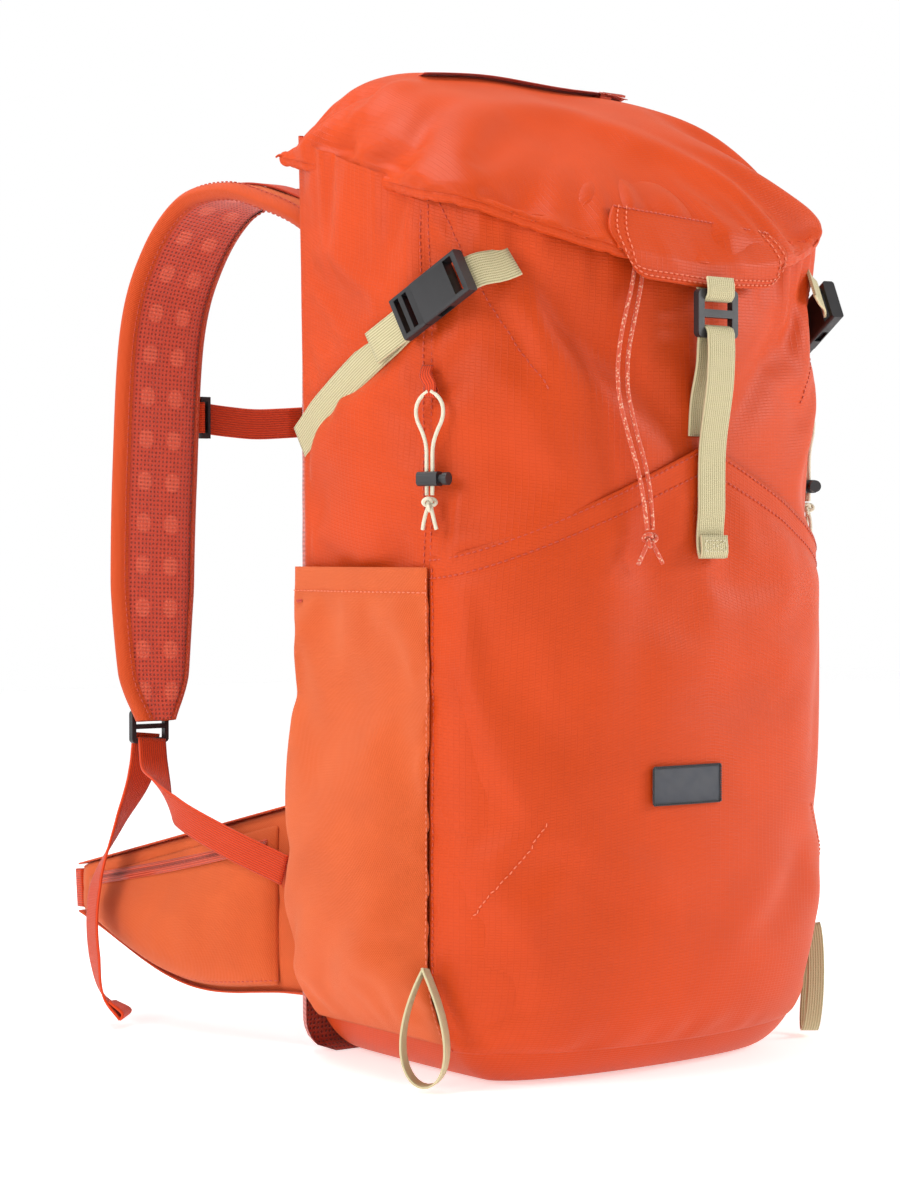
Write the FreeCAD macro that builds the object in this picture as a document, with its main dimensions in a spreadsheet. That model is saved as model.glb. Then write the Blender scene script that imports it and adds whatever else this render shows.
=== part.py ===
"""A hiking daypack: a sewn bag with a hooded lid, side pockets, a front stash
pocket, a foam back panel, two shoulder straps and a padded hip belt, with the
moulded buckles, cord locks, ladder locks and zip sliders that it works by.

The frame is +Z up, with the wearer's back towards +Y, and the origin on the
floor at the middle of the flat base.  All sizes are millimetres.
"""

import FreeCAD, Part
import math
import os
import re

import Sketcher

from FreeCAD import Placement, Rotation, Vector

SIZES = [
    # the sewn bag
    ("bag_width", 280), ("bag_side_depth", 130), ("front_bulge", 64),
    ("back_plane", 100), ("rim_front", 480), ("rim_rear", 547), ("fabric_wall", 3),
    ("base_wall", 4), ("base_round", 46), ("base_rise", 78),
    ("rim_flare", 5), ("sewn_gap", 0.4),
    # back panel and frame sheet
    ("back_foam", 13), ("back_panel_top", 535), ("back_panel_foot", 0),
    ("back_inset", 4), ("back_corner", 22), ("sheet_thick", 1.5), ("sheet_margin", 18),
    # collar inside the lid
    ("collar_height", 22), ("collar_mouth_x", 62), ("collar_mouth_y", 46),
    # pockets
    ("stash_gap", 8), ("stash_bottom", 20), ("stash_peak", 362),
    ("stash_corner", 298), ("pocket_top", 292), ("pocket_bottom", 24),
    ("pocket_bulge", 22), ("pocket_mouth_gap", 7),
    # lid
    ("lid_hinge_height", 536), ("lid_overhang", 12), ("lid_dome", 62),
    ("lid_corner_drop", 37), ("lid_front_drop", 36), ("lid_wall", 4),
    ("tongue_width", 96), ("tongue_drop", 12), ("tongue_thick", 3),
    ("zip_width", 14), ("zip_thick", 1.6), ("lid_zip_length", 156),
    # webbing
    ("webbing", 20), ("belt_webbing", 25), ("tape", 10), ("web_thick", 1.6),
    ("small_tape", 8), ("tape_thick", 1.2), ("gear_loop_z", 70), ("gear_loop_drop", 66),
    ("gear_loop_width", 26),
    # moulded buckles
    ("buckle_height", 8), ("buckle_wall", 1.6), ("buckle_side", 3),
    ("buckle_body", 25), ("buckle_frame", 11), ("buckle_bar", 3), ("bar_gap", 3.6),
    ("plug_back", 17), ("plug_reach", 19), ("plug_clear", 0.4), ("arm_width", 4),
    ("ladder_length", 21), ("ladder_thick", 4), ("ladder_bar", 3),
    ("hook_length", 27), ("hook_thick", 4.2), ("hook_rail", 4.5),
    # cord locks and cords
    ("pole_cord", 2.2), ("pole_cord_gap", 3.6), ("lock_length", 13),
    ("lock_size", 8), ("lock_bore", 5), ("lock_wall", 1.5), ("cord_clear", 0.5),
    ("plunger_travel", 2.5), ("button_stand", 3), ("drawcord", 2.4), ("knot", 9),
    # heights of the side hardware
    ("compression_front_z", 457), ("compression_rear_z", 367),
    ("compression_front_x", 116), ("pole_tab_z", 392), ("pole_lock_z", 341),
    ("pole_knot_z", 328),
    # shoulder harness
    ("strap_width", 62), ("strap_thick", 10), ("strap_root_x", 75),
    ("strap_root_z", 500), ("strap_arch_rise", 18), ("strap_reach", 150),
    ("strap_end_z", 187), ("strap_end_out", 10), ("sternum_z", 388),
    ("clip_length", 7), ("clip_height", 5.5), ("clip_slot", 3.2), ("clip_bar", 1.9),
    ("anchor_z", 106), ("anchor_height", 50), ("anchor_reach", 24),
    # hip belt
    ("wing_thick", 12), ("wing_length", 205), ("wing_spread", 40),
    ("wing_root_inset", 16), ("wing_root_top", 150), ("wing_root_bottom", 34),
    ("wing_tip_top", 96), ("wing_tip_bottom", 66), ("wing_belly", 22),
    ("hip_pocket_bulge", 20), ("belt_z", 80), ("belt_sag", 30), ("haul_rope", 5),
    # zip sliders
    ("slider_length", 9), ("slider_width", 7), ("slider_height", 3.2),
    ("bridge_length", 5), ("pull_length", 15), ("pull_thick", 1.4),
]

doc = FreeCAD.newDocument("daypack")
sheet = doc.addObject("Spreadsheet::Sheet", "sizes")
for row, (name, value) in enumerate(SIZES, start=1):
    sheet.set(f"A{row}", name)
    sheet.set(f"B{row}", str(value))
    sheet.setAlias(f"B{row}", name)
doc.recompute()


def size(name):
    return float(getattr(sheet, name))


SUB_PARTS = []


def keep(obj, label):
    """Lists a finished document object as a sub-part."""
    obj.Label = label
    SUB_PARTS.append(obj)
    return obj


def soft(label, *shapes):
    """A sewn or woven sub-part whose shape is worked out from the sizes."""
    obj = doc.addObject("Part::Feature", label)
    obj.Shape = shapes[0] if len(shapes) == 1 else Part.makeCompound(list(shapes))
    return keep(obj, label)


# ---------------------------------------------------------------- solids
def mirrored(side, p, z):
    """A point of the left side, or its mirror image on the right, at height z."""
    return Vector(-side * p.x, p.y, z)


def solid_of(faces):
    shell = Part.makeShell(faces)
    shell.sewShape()
    solid = Part.makeSolid(shell)
    return solid.reversed() if solid.Volume < 0 else solid


def slab(outer, inner):
    """The closed solid between two grids of points of the same shape."""
    surfaces, faces = [], []
    for grid in (outer, inner):
        surface = Part.BSplineSurface()
        surface.interpolate(grid)
        surfaces.append(surface)
        faces.append(surface.toShape())
    u0, u1, v0, v1 = surfaces[0].bounds()
    for at, iso in ((u0, "uIso"), (u1, "uIso"), (v0, "vIso"), (v1, "vIso")):
        a, b = (getattr(s, iso)(at).toShape() for s in surfaces)
        faces.append(Part.makeRuledSurface(a, b, 1))
    return solid_of(faces)


def band(stations, width, thick):
    """A strap of even width and thickness through stations of (centre, across)."""
    centres = [centre for centre, across in stations]
    turns = [0.0]
    for before, after in zip(centres, centres[1:]):
        turns.append(turns[-1] + (after - before).Length)
    line = Part.BSplineCurve()
    line.interpolate(Points=centres, Parameters=turns)
    rings = []
    for i in range(len(stations) - 1):
        for share in (0, 0.2, 0.4, 0.6, 0.8) if i < len(stations) - 2 else spread(0, 1, 6):
            turn = turns[i] + (turns[i + 1] - turns[i]) * share
            across = stations[i][1] * (1 - share) + stations[i + 1][1] * share
            along = line.tangent(turn)[0]
            across = (across - along * across.dot(along)).normalize() * (width / 2)
            rise = along.cross(across).normalize() * (thick / 2)
            centre = line.value(turn)
            ring = [centre - across - rise, centre + across - rise,
                    centre + across + rise, centre - across + rise]
            rings.append(Part.makePolygon(ring + ring[:1]))
    return Part.makeLoft(rings, True, True)


def flat_strip(points, width, thick):
    """A strap whose line lies in the YZ plane, through (y, z) points."""
    line = [Vector(0, y, z) for y, z in points]
    sides = ([], [])
    for i, p in enumerate(line):
        along = line[min(i + 1, len(line) - 1)] - line[max(i - 1, 0)]
        out = Vector(0, -along.z, along.y).normalize() * (thick / 2)
        sides[0].append(p + out)
        sides[1].append(p - out)
    curves = []
    for side in sides:
        curve = Part.BSplineCurve()
        curve.interpolate(side)
        curves.append(curve.toShape())
    a, b = sides
    wire = Part.Wire(
        [curves[0], Part.makeLine(a[-1], b[-1]), curves[1], Part.makeLine(b[0], a[0])]
    )
    strip = Part.Face(wire).extrude(Vector(width, 0, 0))
    strip.translate(Vector(-width / 2, 0, 0))
    return strip


def tube(points, diameter):
    """A cord along straight runs joined by tangent arcs; prints its radii."""
    edges, radii, start = [], [], points[0]
    for before, corner, after in zip(points, points[1:], points[2:]):
        a, b = before - corner, after - corner
        half = (math.pi - a.getAngle(b)) / 2
        run = 0.45 * min(a.Length, b.Length)
        radii.append(round(run / math.tan(half), 1))
        ua, ub = Vector(a).normalize(), Vector(b).normalize()
        first, last = corner + ua * run, corner + ub * run
        middle = (ua + ub).normalize()
        inner = corner + middle * (radii[-1] / math.cos(half) - radii[-1])
        edges += [Part.makeLine(start, first), Part.Arc(first, inner, last).toShape()]
        start = last
    edges.append(Part.makeLine(start, points[-1]))
    wire = Part.Wire(edges)
    first_run = (points[1] - points[0]).normalize()
    ring = Part.Wire(Part.makeCircle(diameter / 2, points[0], first_run))
    solid = wire.makePipeShell([ring], True, False)
    area = math.pi * (diameter / 2) ** 2
    print("cord radii", radii, "length", round(wire.Length, 1),
          "volume share", round(abs(solid.Volume) / (area * wire.Length), 3))
    return solid


def spread(low, high, count):
    return [low + (high - low) * i / (count - 1) for i in range(count)]


def eased(low, high, count):
    """Values from low to high that crowd together at both ends."""
    return [
        low + (high - low) * (1 - math.cos(math.pi * i / (count - 1))) / 2
        for i in range(count)
    ]


# ------------------------------------------------------------ the bag's form
SEAM_Y = size("back_plane") - size("bag_side_depth")
WALL = size("fabric_wall")
GAP = size("sewn_gap")
BACK_Y = size("back_plane")
BACK_FACE = BACK_Y + size("back_foam")
BASE_TOP = size("base_wall")


def inset(z):
    """How far the bag's foot is drawn in at height z."""
    lift = max(0.0, 1 - z / size("base_rise"))
    return size("base_round") * (1 - math.sqrt(1 - min(1.0, lift) ** 2))


def flare(z):
    """How far the back corners stand out towards the rim."""
    return size("rim_flare") * max(0.0, (z / size("rim_rear") - 0.55) / 0.45)


def rim_cutter():
    """All that lies above the bag's rim, which falls towards the front."""
    low_y, high_y = SEAM_Y - size("front_bulge"), BACK_Y
    slope = (size("rim_rear") - size("rim_front")) / (high_y - low_y)
    reach = size("bag_width")
    ends = [Vector(-reach, y, size("rim_front") + slope * (y - low_y)) for y in (-reach, reach)]
    top = [p + Vector(0, 0, 2 * reach) for p in reversed(ends)]
    face = Part.Face(Part.makePolygon(ends + top + ends[:1]))
    return face.extrude(Vector(2 * reach, 0, 0))


def side_x(y, z):
    """Half the bag's width at depth y between the back and the side seam."""
    share = (y - SEAM_Y) / size("bag_side_depth")
    return size("bag_width") / 2 - inset(z) + flare(z) * share


def front_y(x, z, stand=0.0):
    """Where the bag's front lies at x and z, or a skin that stands off it."""
    a = size("bag_width") / 2 - inset(z) + stand
    b = size("front_bulge") - inset(z) + stand
    return SEAM_Y - b * math.sqrt(max(0.0, 1 - (x / a) ** 2))


def front_arc(z, stand_x, stand_y, count=15):
    """The bag's front from seam to seam at height z, standing off it."""
    a = size("bag_width") / 2 - inset(z) + stand_x
    b = size("front_bulge") - inset(z) + stand_y
    return [
        Vector(a * math.sin(t), SEAM_Y - b * math.cos(t), z)
        for t in spread(-math.pi / 2, math.pi / 2, count)
    ]


def bag_heights(low, high, count=15):
    """Heights from low to high, closer together round the foot of the bag."""
    return [low + (high - low) * (i / (count - 1)) ** 1.5 for i in range(count)]


def make_bag():
    heights = bag_heights(BASE_TOP, size("rim_rear") + WALL)
    above = rim_cutter()
    front = slab([front_arc(z, 0, 0) for z in heights],
                 [front_arc(z, -WALL, -WALL) for z in heights])
    soft("front_panel", front.cut(above))
    depths = spread(SEAM_Y, BACK_Y, 5)
    for side, word in ((-1, "left"), (1, "right")):
        skins = [
            [[Vector(side * (side_x(y, z) - t), y, z) for y in depths] for z in heights]
            for t in (0, WALL)
        ]
        soft(f"side_panel_{word}", slab(*skins).cut(above))
    foot = front_arc(BASE_TOP, 0, 0)
    arc = Part.BSplineCurve()
    arc.interpolate([Vector(p.x, p.y, 0) for p in foot])
    left = Vector(-side_x(BACK_Y, BASE_TOP), BACK_Y, 0)
    right = Vector(side_x(BACK_Y, BASE_TOP), BACK_Y, 0)
    start, end = Vector(foot[0].x, SEAM_Y, 0), Vector(foot[-1].x, SEAM_Y, 0)
    outline = Part.Wire([arc.toShape(), Part.makeLine(end, right),
                         Part.makeLine(right, left), Part.makeLine(left, start)])
    soft("base_panel", Part.Face(outline).extrude(Vector(0, 0, BASE_TOP)))


def make_collar():
    """The drawcord collar: a gathered sleeve from the rim to its mouth."""
    low_y, high_y = SEAM_Y - size("front_bulge"), BACK_Y
    slope = math.atan2(size("rim_rear") - size("rim_front"), high_y - low_y)
    middle = Vector(0, (low_y + high_y) / 2, (size("rim_front") + size("rim_rear")) / 2)
    half_x = size("bag_width") / 2 - 1
    half_y = (high_y - low_y) / 2 / math.cos(slope) - 2

    def ring(lift, share, stand):
        a = half_x + (size("collar_mouth_x") - half_x) * share + stand
        b = half_y + (size("collar_mouth_y") - half_y) * share + stand
        return Part.Wire(Part.Ellipse(Vector(0, 0, lift), a, b).toShape())

    profile = [(GAP, 0.0), (size("collar_height") * 0.35, 0.12),
               (size("collar_height") * 0.75, 0.5), (size("collar_height"), 1.0)]
    outer, inner = (Part.makeLoft([ring(lift, share, stand) for lift, share in profile],
                                  True, False) for stand in (0, -WALL))
    sleeve = outer.cut(inner)
    sleeve.rotate(Vector(), Vector(1, 0, 0), math.degrees(slope))
    sleeve.translate(middle)
    soft("collar", sleeve)


def rule(text):
    """A rule for setExpression, with each size named as the sheet names it."""
    return re.sub(r"[a-z_]+", lambda word: "sizes." + word[0], text)


def bind(obj, rules):
    for prop, text in rules.items():
        obj.setExpression(prop, rule(text))
    return obj


def make_back():
    """The foam back panel and the stiff sheet that lies in front of it."""
    panel = doc.addObject("Part::Box", "back_block")
    bind(panel, {"Length": "bag_width - 2 * back_inset", "Width": "back_foam",
                 "Height": "back_panel_top - back_panel_foot",
                 "Placement.Base.x": "back_inset - bag_width / 2",
                 "Placement.Base.y": "back_plane", "Placement.Base.z": "back_panel_foot"})
    keep(rounded("back_panel", panel, size("back_corner"), "YLength"), "back_panel")
    board = doc.addObject("Part::Box", "frame_sheet")
    bind(board, {"Length": "bag_width - 2 * back_inset - 2 * sheet_margin",
                 "Width": "sheet_thick",
                 "Height": "rim_front - back_panel_foot - 2 * sheet_margin",
                 "Placement.Base.x": "back_inset + sheet_margin - bag_width / 2",
                 "Placement.Base.y": "back_plane - sewn_gap - sheet_thick",
                 "Placement.Base.z": "back_panel_foot + sheet_margin"})
    keep(board, "frame_sheet")


def make_stash_pocket():
    """The front pocket: a skin over the front, open along its peaked edge."""
    low, high = size("stash_bottom"), size("stash_peak")
    heights = bag_heights(low, high)

    def stand(z):
        share = min(1.0, (z - low) / (size("base_rise") + 20 - low))
        return GAP + (size("stash_gap") - GAP) * math.sin(share * math.pi / 2)

    grids = [[front_arc(z, GAP + t, stand(z) + t) for z in heights] for t in (WALL, 0)]
    half, corner = size("bag_width") / 2, size("stash_corner")
    low_end = corner - (high - corner)
    edge = [Vector(-2 * half, 0, low_end), Vector(0, 0, high), Vector(2 * half, 0, low_end)]
    above = [p + Vector(0, 0, 2 * high) for p in reversed(edge)]
    cutter = Part.Face(Part.makePolygon(edge + above + edge[:1]))
    soft("front_pocket", slab(*grids).cut(cutter.extrude(Vector(0, -4 * half, 0))))


def make_side_pockets():
    low, high = size("pocket_bottom"), size("pocket_top")
    heights = bag_heights(low, high, 13)

    def bulge(y, z):
        share = (BACK_Y - y) / size("bag_side_depth")
        up = (z - low) / (high - low)
        belly = math.sin(math.pi * min(1.0, up * 1.4) ** 0.8)
        depth = size("pocket_mouth_gap") * min(1.0, up * 4) + (
            size("pocket_bulge") - size("pocket_mouth_gap")) * belly
        return GAP + depth * math.sin(math.pi * share) ** 0.8

    depths = eased(SEAM_Y, BACK_Y, 11)
    for side, word in ((-1, "left"), (1, "right")):
        grids = [[[Vector(side * (side_x(y, z) + bulge(y, z) + t), y, z)
                   for y in depths] for z in heights] for t in (WALL, 0)]
        soft(f"side_pocket_{word}", slab(*grids))


# ------------------------------------------------------------------- lid
LID_HINGE = Vector(0, BACK_FACE, size("lid_hinge_height"))


def lid_point(u, v, wall):
    """The lid's skin: u runs left to right, v from the hinge to the front."""
    half = size("bag_width") / 2 + size("lid_overhang") - wall
    bulge = size("front_bulge") + size("lid_overhang") - wall
    x = half * u
    nose = SEAM_Y - bulge * math.sqrt(max(0.0, 1 - (0.995 * u) ** 2))
    rear = BACK_FACE - wall
    y = rear + (nose - rear) * v
    hem = LID_HINGE.z - size("lid_corner_drop") * v - size("lid_front_drop") * v * (
        1 - u * u)
    across = math.sqrt(max(0.0, 1 - abs(u) ** 5))
    ahead = max(0.0, 1 - v**4) ** 0.6
    behind = math.sqrt(1 - max(0.0, 1 - v / 0.3) ** 4)
    return Vector(x, y, hem + (size("lid_dome") - wall) * across * ahead * behind)


def make_lid():
    us = [math.sin(t) for t in spread(-math.pi / 2, math.pi / 2, 17)]
    vs = [(1 - math.cos(t)) / 2 for t in spread(0, math.pi, 15)]
    grids = [[[lid_point(u, v, wall) for u in us] for v in vs]
             for wall in (0, size("lid_wall"))]
    soft("lid", slab(*grids))
    tongue = size("tongue_width") / 2
    wide = size("bag_width") / 2 + size("lid_overhang")

    def hanging(stand):
        rows = []
        for share in spread(0, 1, 5):
            row = []
            for x in spread(-tongue, tongue, 9):
                edge = lid_point(x / wide, 1, 0)
                drop = size("tongue_drop") * (1 - 0.45 * abs(x / tongue) ** 2)
                row.append(Vector(x, edge.y + 1 + stand, edge.z - GAP - share * drop))
            rows.append(row)
        return rows

    soft("lid_tongue", slab(hanging(0), hanging(size("tongue_thick"))))
    return lid_point(0, 1, 0).z


def make_lid_zip():
    """The lid pocket's zip lies across the top of the dome, with its slider."""
    half, wide = size("lid_zip_length") / 2, size("bag_width") / 2 + size("lid_overhang")
    long = BACK_FACE - SEAM_Y + size("front_bulge")
    middle = 0.24
    skins = []
    for lift in (GAP + size("zip_thick"), GAP):
        skins.append([[lid_point(x / wide, middle + way * size("zip_width") / 2 / long, 0)
                       + Vector(0, 0, lift) for way in (-1, 0, 1)]
                      for x in spread(-half, half, 9)])
    soft("lid_zip", slab(*skins))
    crown = lid_point(0, middle, 0)
    slope = lid_point(0, middle + 0.02, 0) - lid_point(0, middle - 0.02, 0)
    look = Vector(0, slope.z, -slope.y).normalize()
    seat = Vector(half - 18, crown.y, crown.z + 2 * GAP) + look * (size("zip_thick") + GAP)
    zip_slider("lid_zip_slider", seat, Vector(1, 0, 0), look)


# -------------------------------------------------- moulded plastic hardware
def block(name, length, width, height, x, y="0", z="0"):
    """A block that runs from x along +X, centred on y and z; all are rules."""
    obj = doc.addObject("Part::Box", name)
    return bind(obj, {"Length": length, "Width": width, "Height": height,
                      "Placement.Base.x": x,
                      "Placement.Base.y": f"({y}) - ({width}) / 2",
                      "Placement.Base.z": f"({z}) - ({height}) / 2"})


def rod(name, radius, height, x, z="0", turn=None):
    """A round rod from x and z, along +Z or, turned, along +X."""
    obj = doc.addObject("Part::Cylinder", name)
    if turn:
        obj.Placement = Placement(Vector(), turn)
    return bind(obj, {"Radius": radius, "Height": height, "Placement.Base.x": x,
                      "Placement.Base.z": z})


def rounded(name, base, radius, across="XLength"):
    """The base with the edges that run along one axis rounded off."""
    obj = doc.addObject("Part::Fillet", name)
    obj.Base = base
    doc.recompute()
    edges = [i for i, e in enumerate(base.Shape.Edges, start=1)
             if getattr(e.BoundBox, across) > 1]
    obj.Edges = [(i, radius, radius) for i in edges]
    return obj


def joined(name, *pieces):
    obj = doc.addObject("Part::MultiFuse", name)
    obj.Shapes = list(pieces)
    return obj


def cut(name, base, *tools):
    obj = doc.addObject("Part::Cut", name)
    obj.Base = base
    obj.Tool = joined(name + "_tools", *tools) if len(tools) > 1 else tools[0]
    return obj


def frame_at(origin, along, outward):
    """Placement that sends x to along and z to outward."""
    x = Vector(along).normalize()
    z = (outward - x * x.dot(outward)).normalize()
    return Placement(origin, Rotation(x, z.cross(x), z, "XZY"))


def placed(obj, label, placement):
    """A finished moulding, put in its place and listed."""
    doc.recompute()
    obj.Placement = placement
    return keep(obj, label)


def buckle_socket(label, web, placement):
    """The female half: the plug enters at x = 0, the web bar is at the far end."""
    tag = label + "_"
    wide = f"{web} + 2 * buckle_side"
    whole = block(tag + "block", "buckle_body + buckle_frame", wide, "buckle_height", "0")
    whole = rounded(tag + "shell", whole, 1.8)
    cavity = block(tag + "cavity", "buckle_body - buckle_wall + 1",
                   f"{wide} - 2 * buckle_wall", "buckle_height - 2 * buckle_wall", "-1")
    slot = block(tag + "slot", "buckle_frame - buckle_bar - buckle_wall", f"{web} + 1",
                 "buckle_height + 2", "buckle_body + buckle_wall")
    windows = [block(tag + f"window_{i}", "buckle_body * 0.42", "2 * buckle_wall + 1",
                     "buckle_height * 0.55", "buckle_body * 0.34", f"{way} * ({wide}) / 2")
               for i, way in enumerate((-1, 1))]
    placed(cut(tag + "cut", whole, cavity, slot, *windows), label, placement)


def buckle_plug(label, web, placement):
    """The male half: its arms reach into +x, and its web bars lie behind x = 0."""
    tag = label + "_"
    wide = f"({web} + 2 * buckle_side)"
    frame = block(tag + "block", "plug_back", wide, "buckle_height - 1",
                  "-plug_back - plug_clear")
    frame = rounded(tag + "frame", frame, 1.6)
    starts = ("buckle_bar", "2 * buckle_bar + bar_gap")
    slots = [block(tag + f"slot_{i}", "bar_gap", f"{web} + 1", "buckle_height + 2",
                   f"{start} - plug_back - plug_clear") for i, start in enumerate(starts)]
    tall = "buckle_height - 2 * buckle_wall - 2 * plug_clear"
    reach = "plug_reach + 2 * plug_clear"
    arm_y = f"({wide} / 2 - buckle_wall - plug_clear - arm_width / 2)"
    prongs = [block(tag + f"arm_{i}", reach, "arm_width", tall, "-2 * plug_clear",
                    f"{way} * {arm_y}") for i, way in enumerate((-1, 1))]
    prongs.append(block(tag + "guide", f"({reach}) * 0.8", "arm_width", tall,
                        "-2 * plug_clear"))
    whole = joined(tag + "plug", cut(tag + "bars", frame, *slots), *prongs)
    placed(whole, label, placement)


def cord_lock(word, placement):
    """Barrel along x with a bore for its button and a cross slot for the cord."""
    tag = f"cord_lock_{word}_"
    barrel = block(tag + "block", "lock_length", "lock_size", "lock_size",
                   "-lock_length / 2")
    barrel = rounded(tag + "barrel", barrel, 2.4)
    along = Rotation(Vector(0, 1, 0), 90)
    bore = rod(tag + "bore", "lock_bore / 2 + 0.15", "lock_length",
               "lock_wall - lock_length / 2", turn=along)
    hole = "pole_cord / 2 + cord_clear"
    slot = block(tag + "slot", "pole_cord_gap", f"2 * ({hole})", "lock_size + 2",
                 "-pole_cord_gap / 2")
    eyes = [rod(tag + f"eye_{i}", hole, "lock_size + 2", f"{way} * pole_cord_gap / 2",
                "-lock_size / 2 - 1") for i, way in enumerate((-1, 1))]
    placed(cut(tag + "cut", barrel, bore, slot, *eyes), f"cord_lock_{word}", placement)

    tag = f"cord_lock_button_{word}_"
    reach = f"(pole_cord_gap / 2 + {hole})"
    start = "(lock_wall + plunger_travel + plug_clear - lock_length / 2)"
    stem = rod(tag + "stem", "lock_bore / 2", f"lock_length / 2 + plunger_travel + 1 - {start}",
               start, turn=along)
    button = rod(tag + "head", "lock_bore / 2 + 1.1", "button_stand",
                 "lock_length / 2 + plunger_travel + plug_clear", turn=along)
    gap = block(tag + "gap", f"2 * {reach} + plunger_travel", f"2 * ({hole})",
                "lock_bore + 2", f"-{reach}")
    whole = cut(tag + "cut", joined(tag + "whole", stem, button), gap)
    placed(whole, f"cord_lock_button_{word}", placement)


def add_rectangle(sketch, tag, start, length, width):
    """A rectangle centred on the sketch's x axis, each size a named constraint."""
    n = sketch.GeometryCount
    corners = [Vector(5, -5, 0), Vector(9, -5, 0), Vector(9, 5, 0), Vector(5, 5, 0)]
    for a, b in zip(corners, corners[1:] + corners[:1]):
        sketch.addGeometry(Part.LineSegment(a, b), False)
    for i in range(4):
        meet = Sketcher.Constraint("Coincident", n + i, 2, n + (i + 1) % 4, 1)
        sketch.addConstraint(meet)
    for i, level in enumerate(("Horizontal", "Vertical", "Horizontal")):
        sketch.addConstraint(Sketcher.Constraint(level, n + i))
    sketch.addConstraint(Sketcher.Constraint("Symmetric", n, 1, n + 2, 2, -1))
    for kind, ends, name, text in (
            ("DistanceX", (-1, 1, n, 1), "start", start),
            ("DistanceX", (n, 1, n, 2), "length", length),
            ("DistanceY", (n + 1, 1, n + 1, 2), "width", width)):
        index = sketch.addConstraint(Sketcher.Constraint(kind, *ends, 5.0))
        sketch.renameConstraint(index, f"{tag}_{name}")
        sketch.setExpression(f"Constraints.{tag}_{name}", rule(text))


def slotted_plate(label, length, width, thick, rail, radius):
    """A flat moulding with three bars: the webbing passes its two slots."""
    body = doc.addObject("PartDesign::Body", label + "_body")
    plane = next(f for f in body.Origin.OriginFeatures if f.Role == "XY_Plane")
    sketch = body.newObject("Sketcher::SketchObject", label + "_outline")
    sketch.AttachmentSupport = (plane, "")
    sketch.MapMode = "FlatFace"
    slot = f"({length} - 3 * {rail}) / 2"
    inner = f"{width} - 2 * {rail}"
    add_rectangle(sketch, "plate", rail, length, width)
    add_rectangle(sketch, "upper", f"2 * {rail}", slot, inner)
    add_rectangle(sketch, "lower", f"3 * {rail} + {slot}", slot, inner)
    pad = body.newObject("PartDesign::Pad", label + "_pad")
    pad.Profile = sketch
    pad.setExpression("Length", rule(thick))
    pad.Midplane = True
    doc.recompute()
    tall = pad.Length.Value - 0.01
    reach = max(v.Y for v in pad.Shape.Vertexes) - 0.01
    outer = [f"Edge{i}" for i, e in enumerate(pad.Shape.Edges, start=1)
             if e.BoundBox.ZLength > tall and abs(e.CenterOfMass.y) > reach]
    corner = body.newObject("PartDesign::Fillet", label + "_corners")
    corner.Base = (pad, outer)
    corner.Radius = radius
    doc.recompute()
    body.Tip = corner
    return body


def upright(x, y, z):
    """Placement of a slotted plate that stands in the XZ plane, first bar low."""
    return Placement(Vector(x, y, z), Rotation(Vector(0, 0, 1), Vector(-1, 0, 0),
                                               Vector(0, -1, 0), "XZY"))


# ------------------------------------------------------------ side hardware
def make_compression(side, word):
    """A tightening strap over each side, with its side release buckle."""
    web, thick = size("webbing"), size("web_thick")
    x_front, z_front = size("compression_front_x"), size("compression_front_z")
    z_rear = size("compression_rear_z")
    front = Vector(side * x_front, front_y(x_front, z_front), z_front)
    rear = Vector(side * side_x(BACK_Y, z_rear), BACK_Y, z_rear)
    share = (BACK_Y - SEAM_Y) / (BACK_Y - front.y)
    seam = Vector(side * size("bag_width") / 2, SEAM_Y, z_rear + (z_front - z_rear) * share)
    out = Vector(side, -0.22, 0).normalize()
    along = front - rear
    along = (along - out * along.dot(out)).normalize()
    middle = seam + out * (size("buckle_height") / 2 + 4)
    pose = frame_at(middle, along, out)
    buckle_socket(f"compression_socket_{word}", "webbing", pose)
    buckle_plug(f"compression_plug_{word}", "webbing", pose)
    across = along.cross(out)
    under = out * (size("buckle_height") / 2 + thick / 2 + GAP)
    bar = size("buckle_body") + size("buckle_frame") - size("buckle_bar") - thick - GAP
    bar_at = middle + along * bar - under
    rest = front + Vector(side * 0.55, -0.84, 0) * (thick / 2 + 11 * GAP)
    stub = band([(rest, across), ((rest + bar_at) / 2 + out * 1.5, across),
                 (bar_at, across)], web, thick)
    back = size("plug_back") + size("plug_clear") - size("buckle_bar") - thick
    tail = middle - along * back - under
    foot_z = z_rear + web / 2
    upward = Vector(0, across.y, across.z)
    foot = Vector(side * (side_x(BACK_Y, foot_z) + thick / 2 + GAP), BACK_Y - 2, z_rear)
    lift = (tail - foot) * 0.45
    lying = Vector(foot.x, foot.y + lift.y, foot.z + lift.z)
    strap = band([(foot, upward), (lying, upward), (tail, across)], web, thick)
    soft(f"compression_strap_{word}", strap)
    return stub


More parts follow.
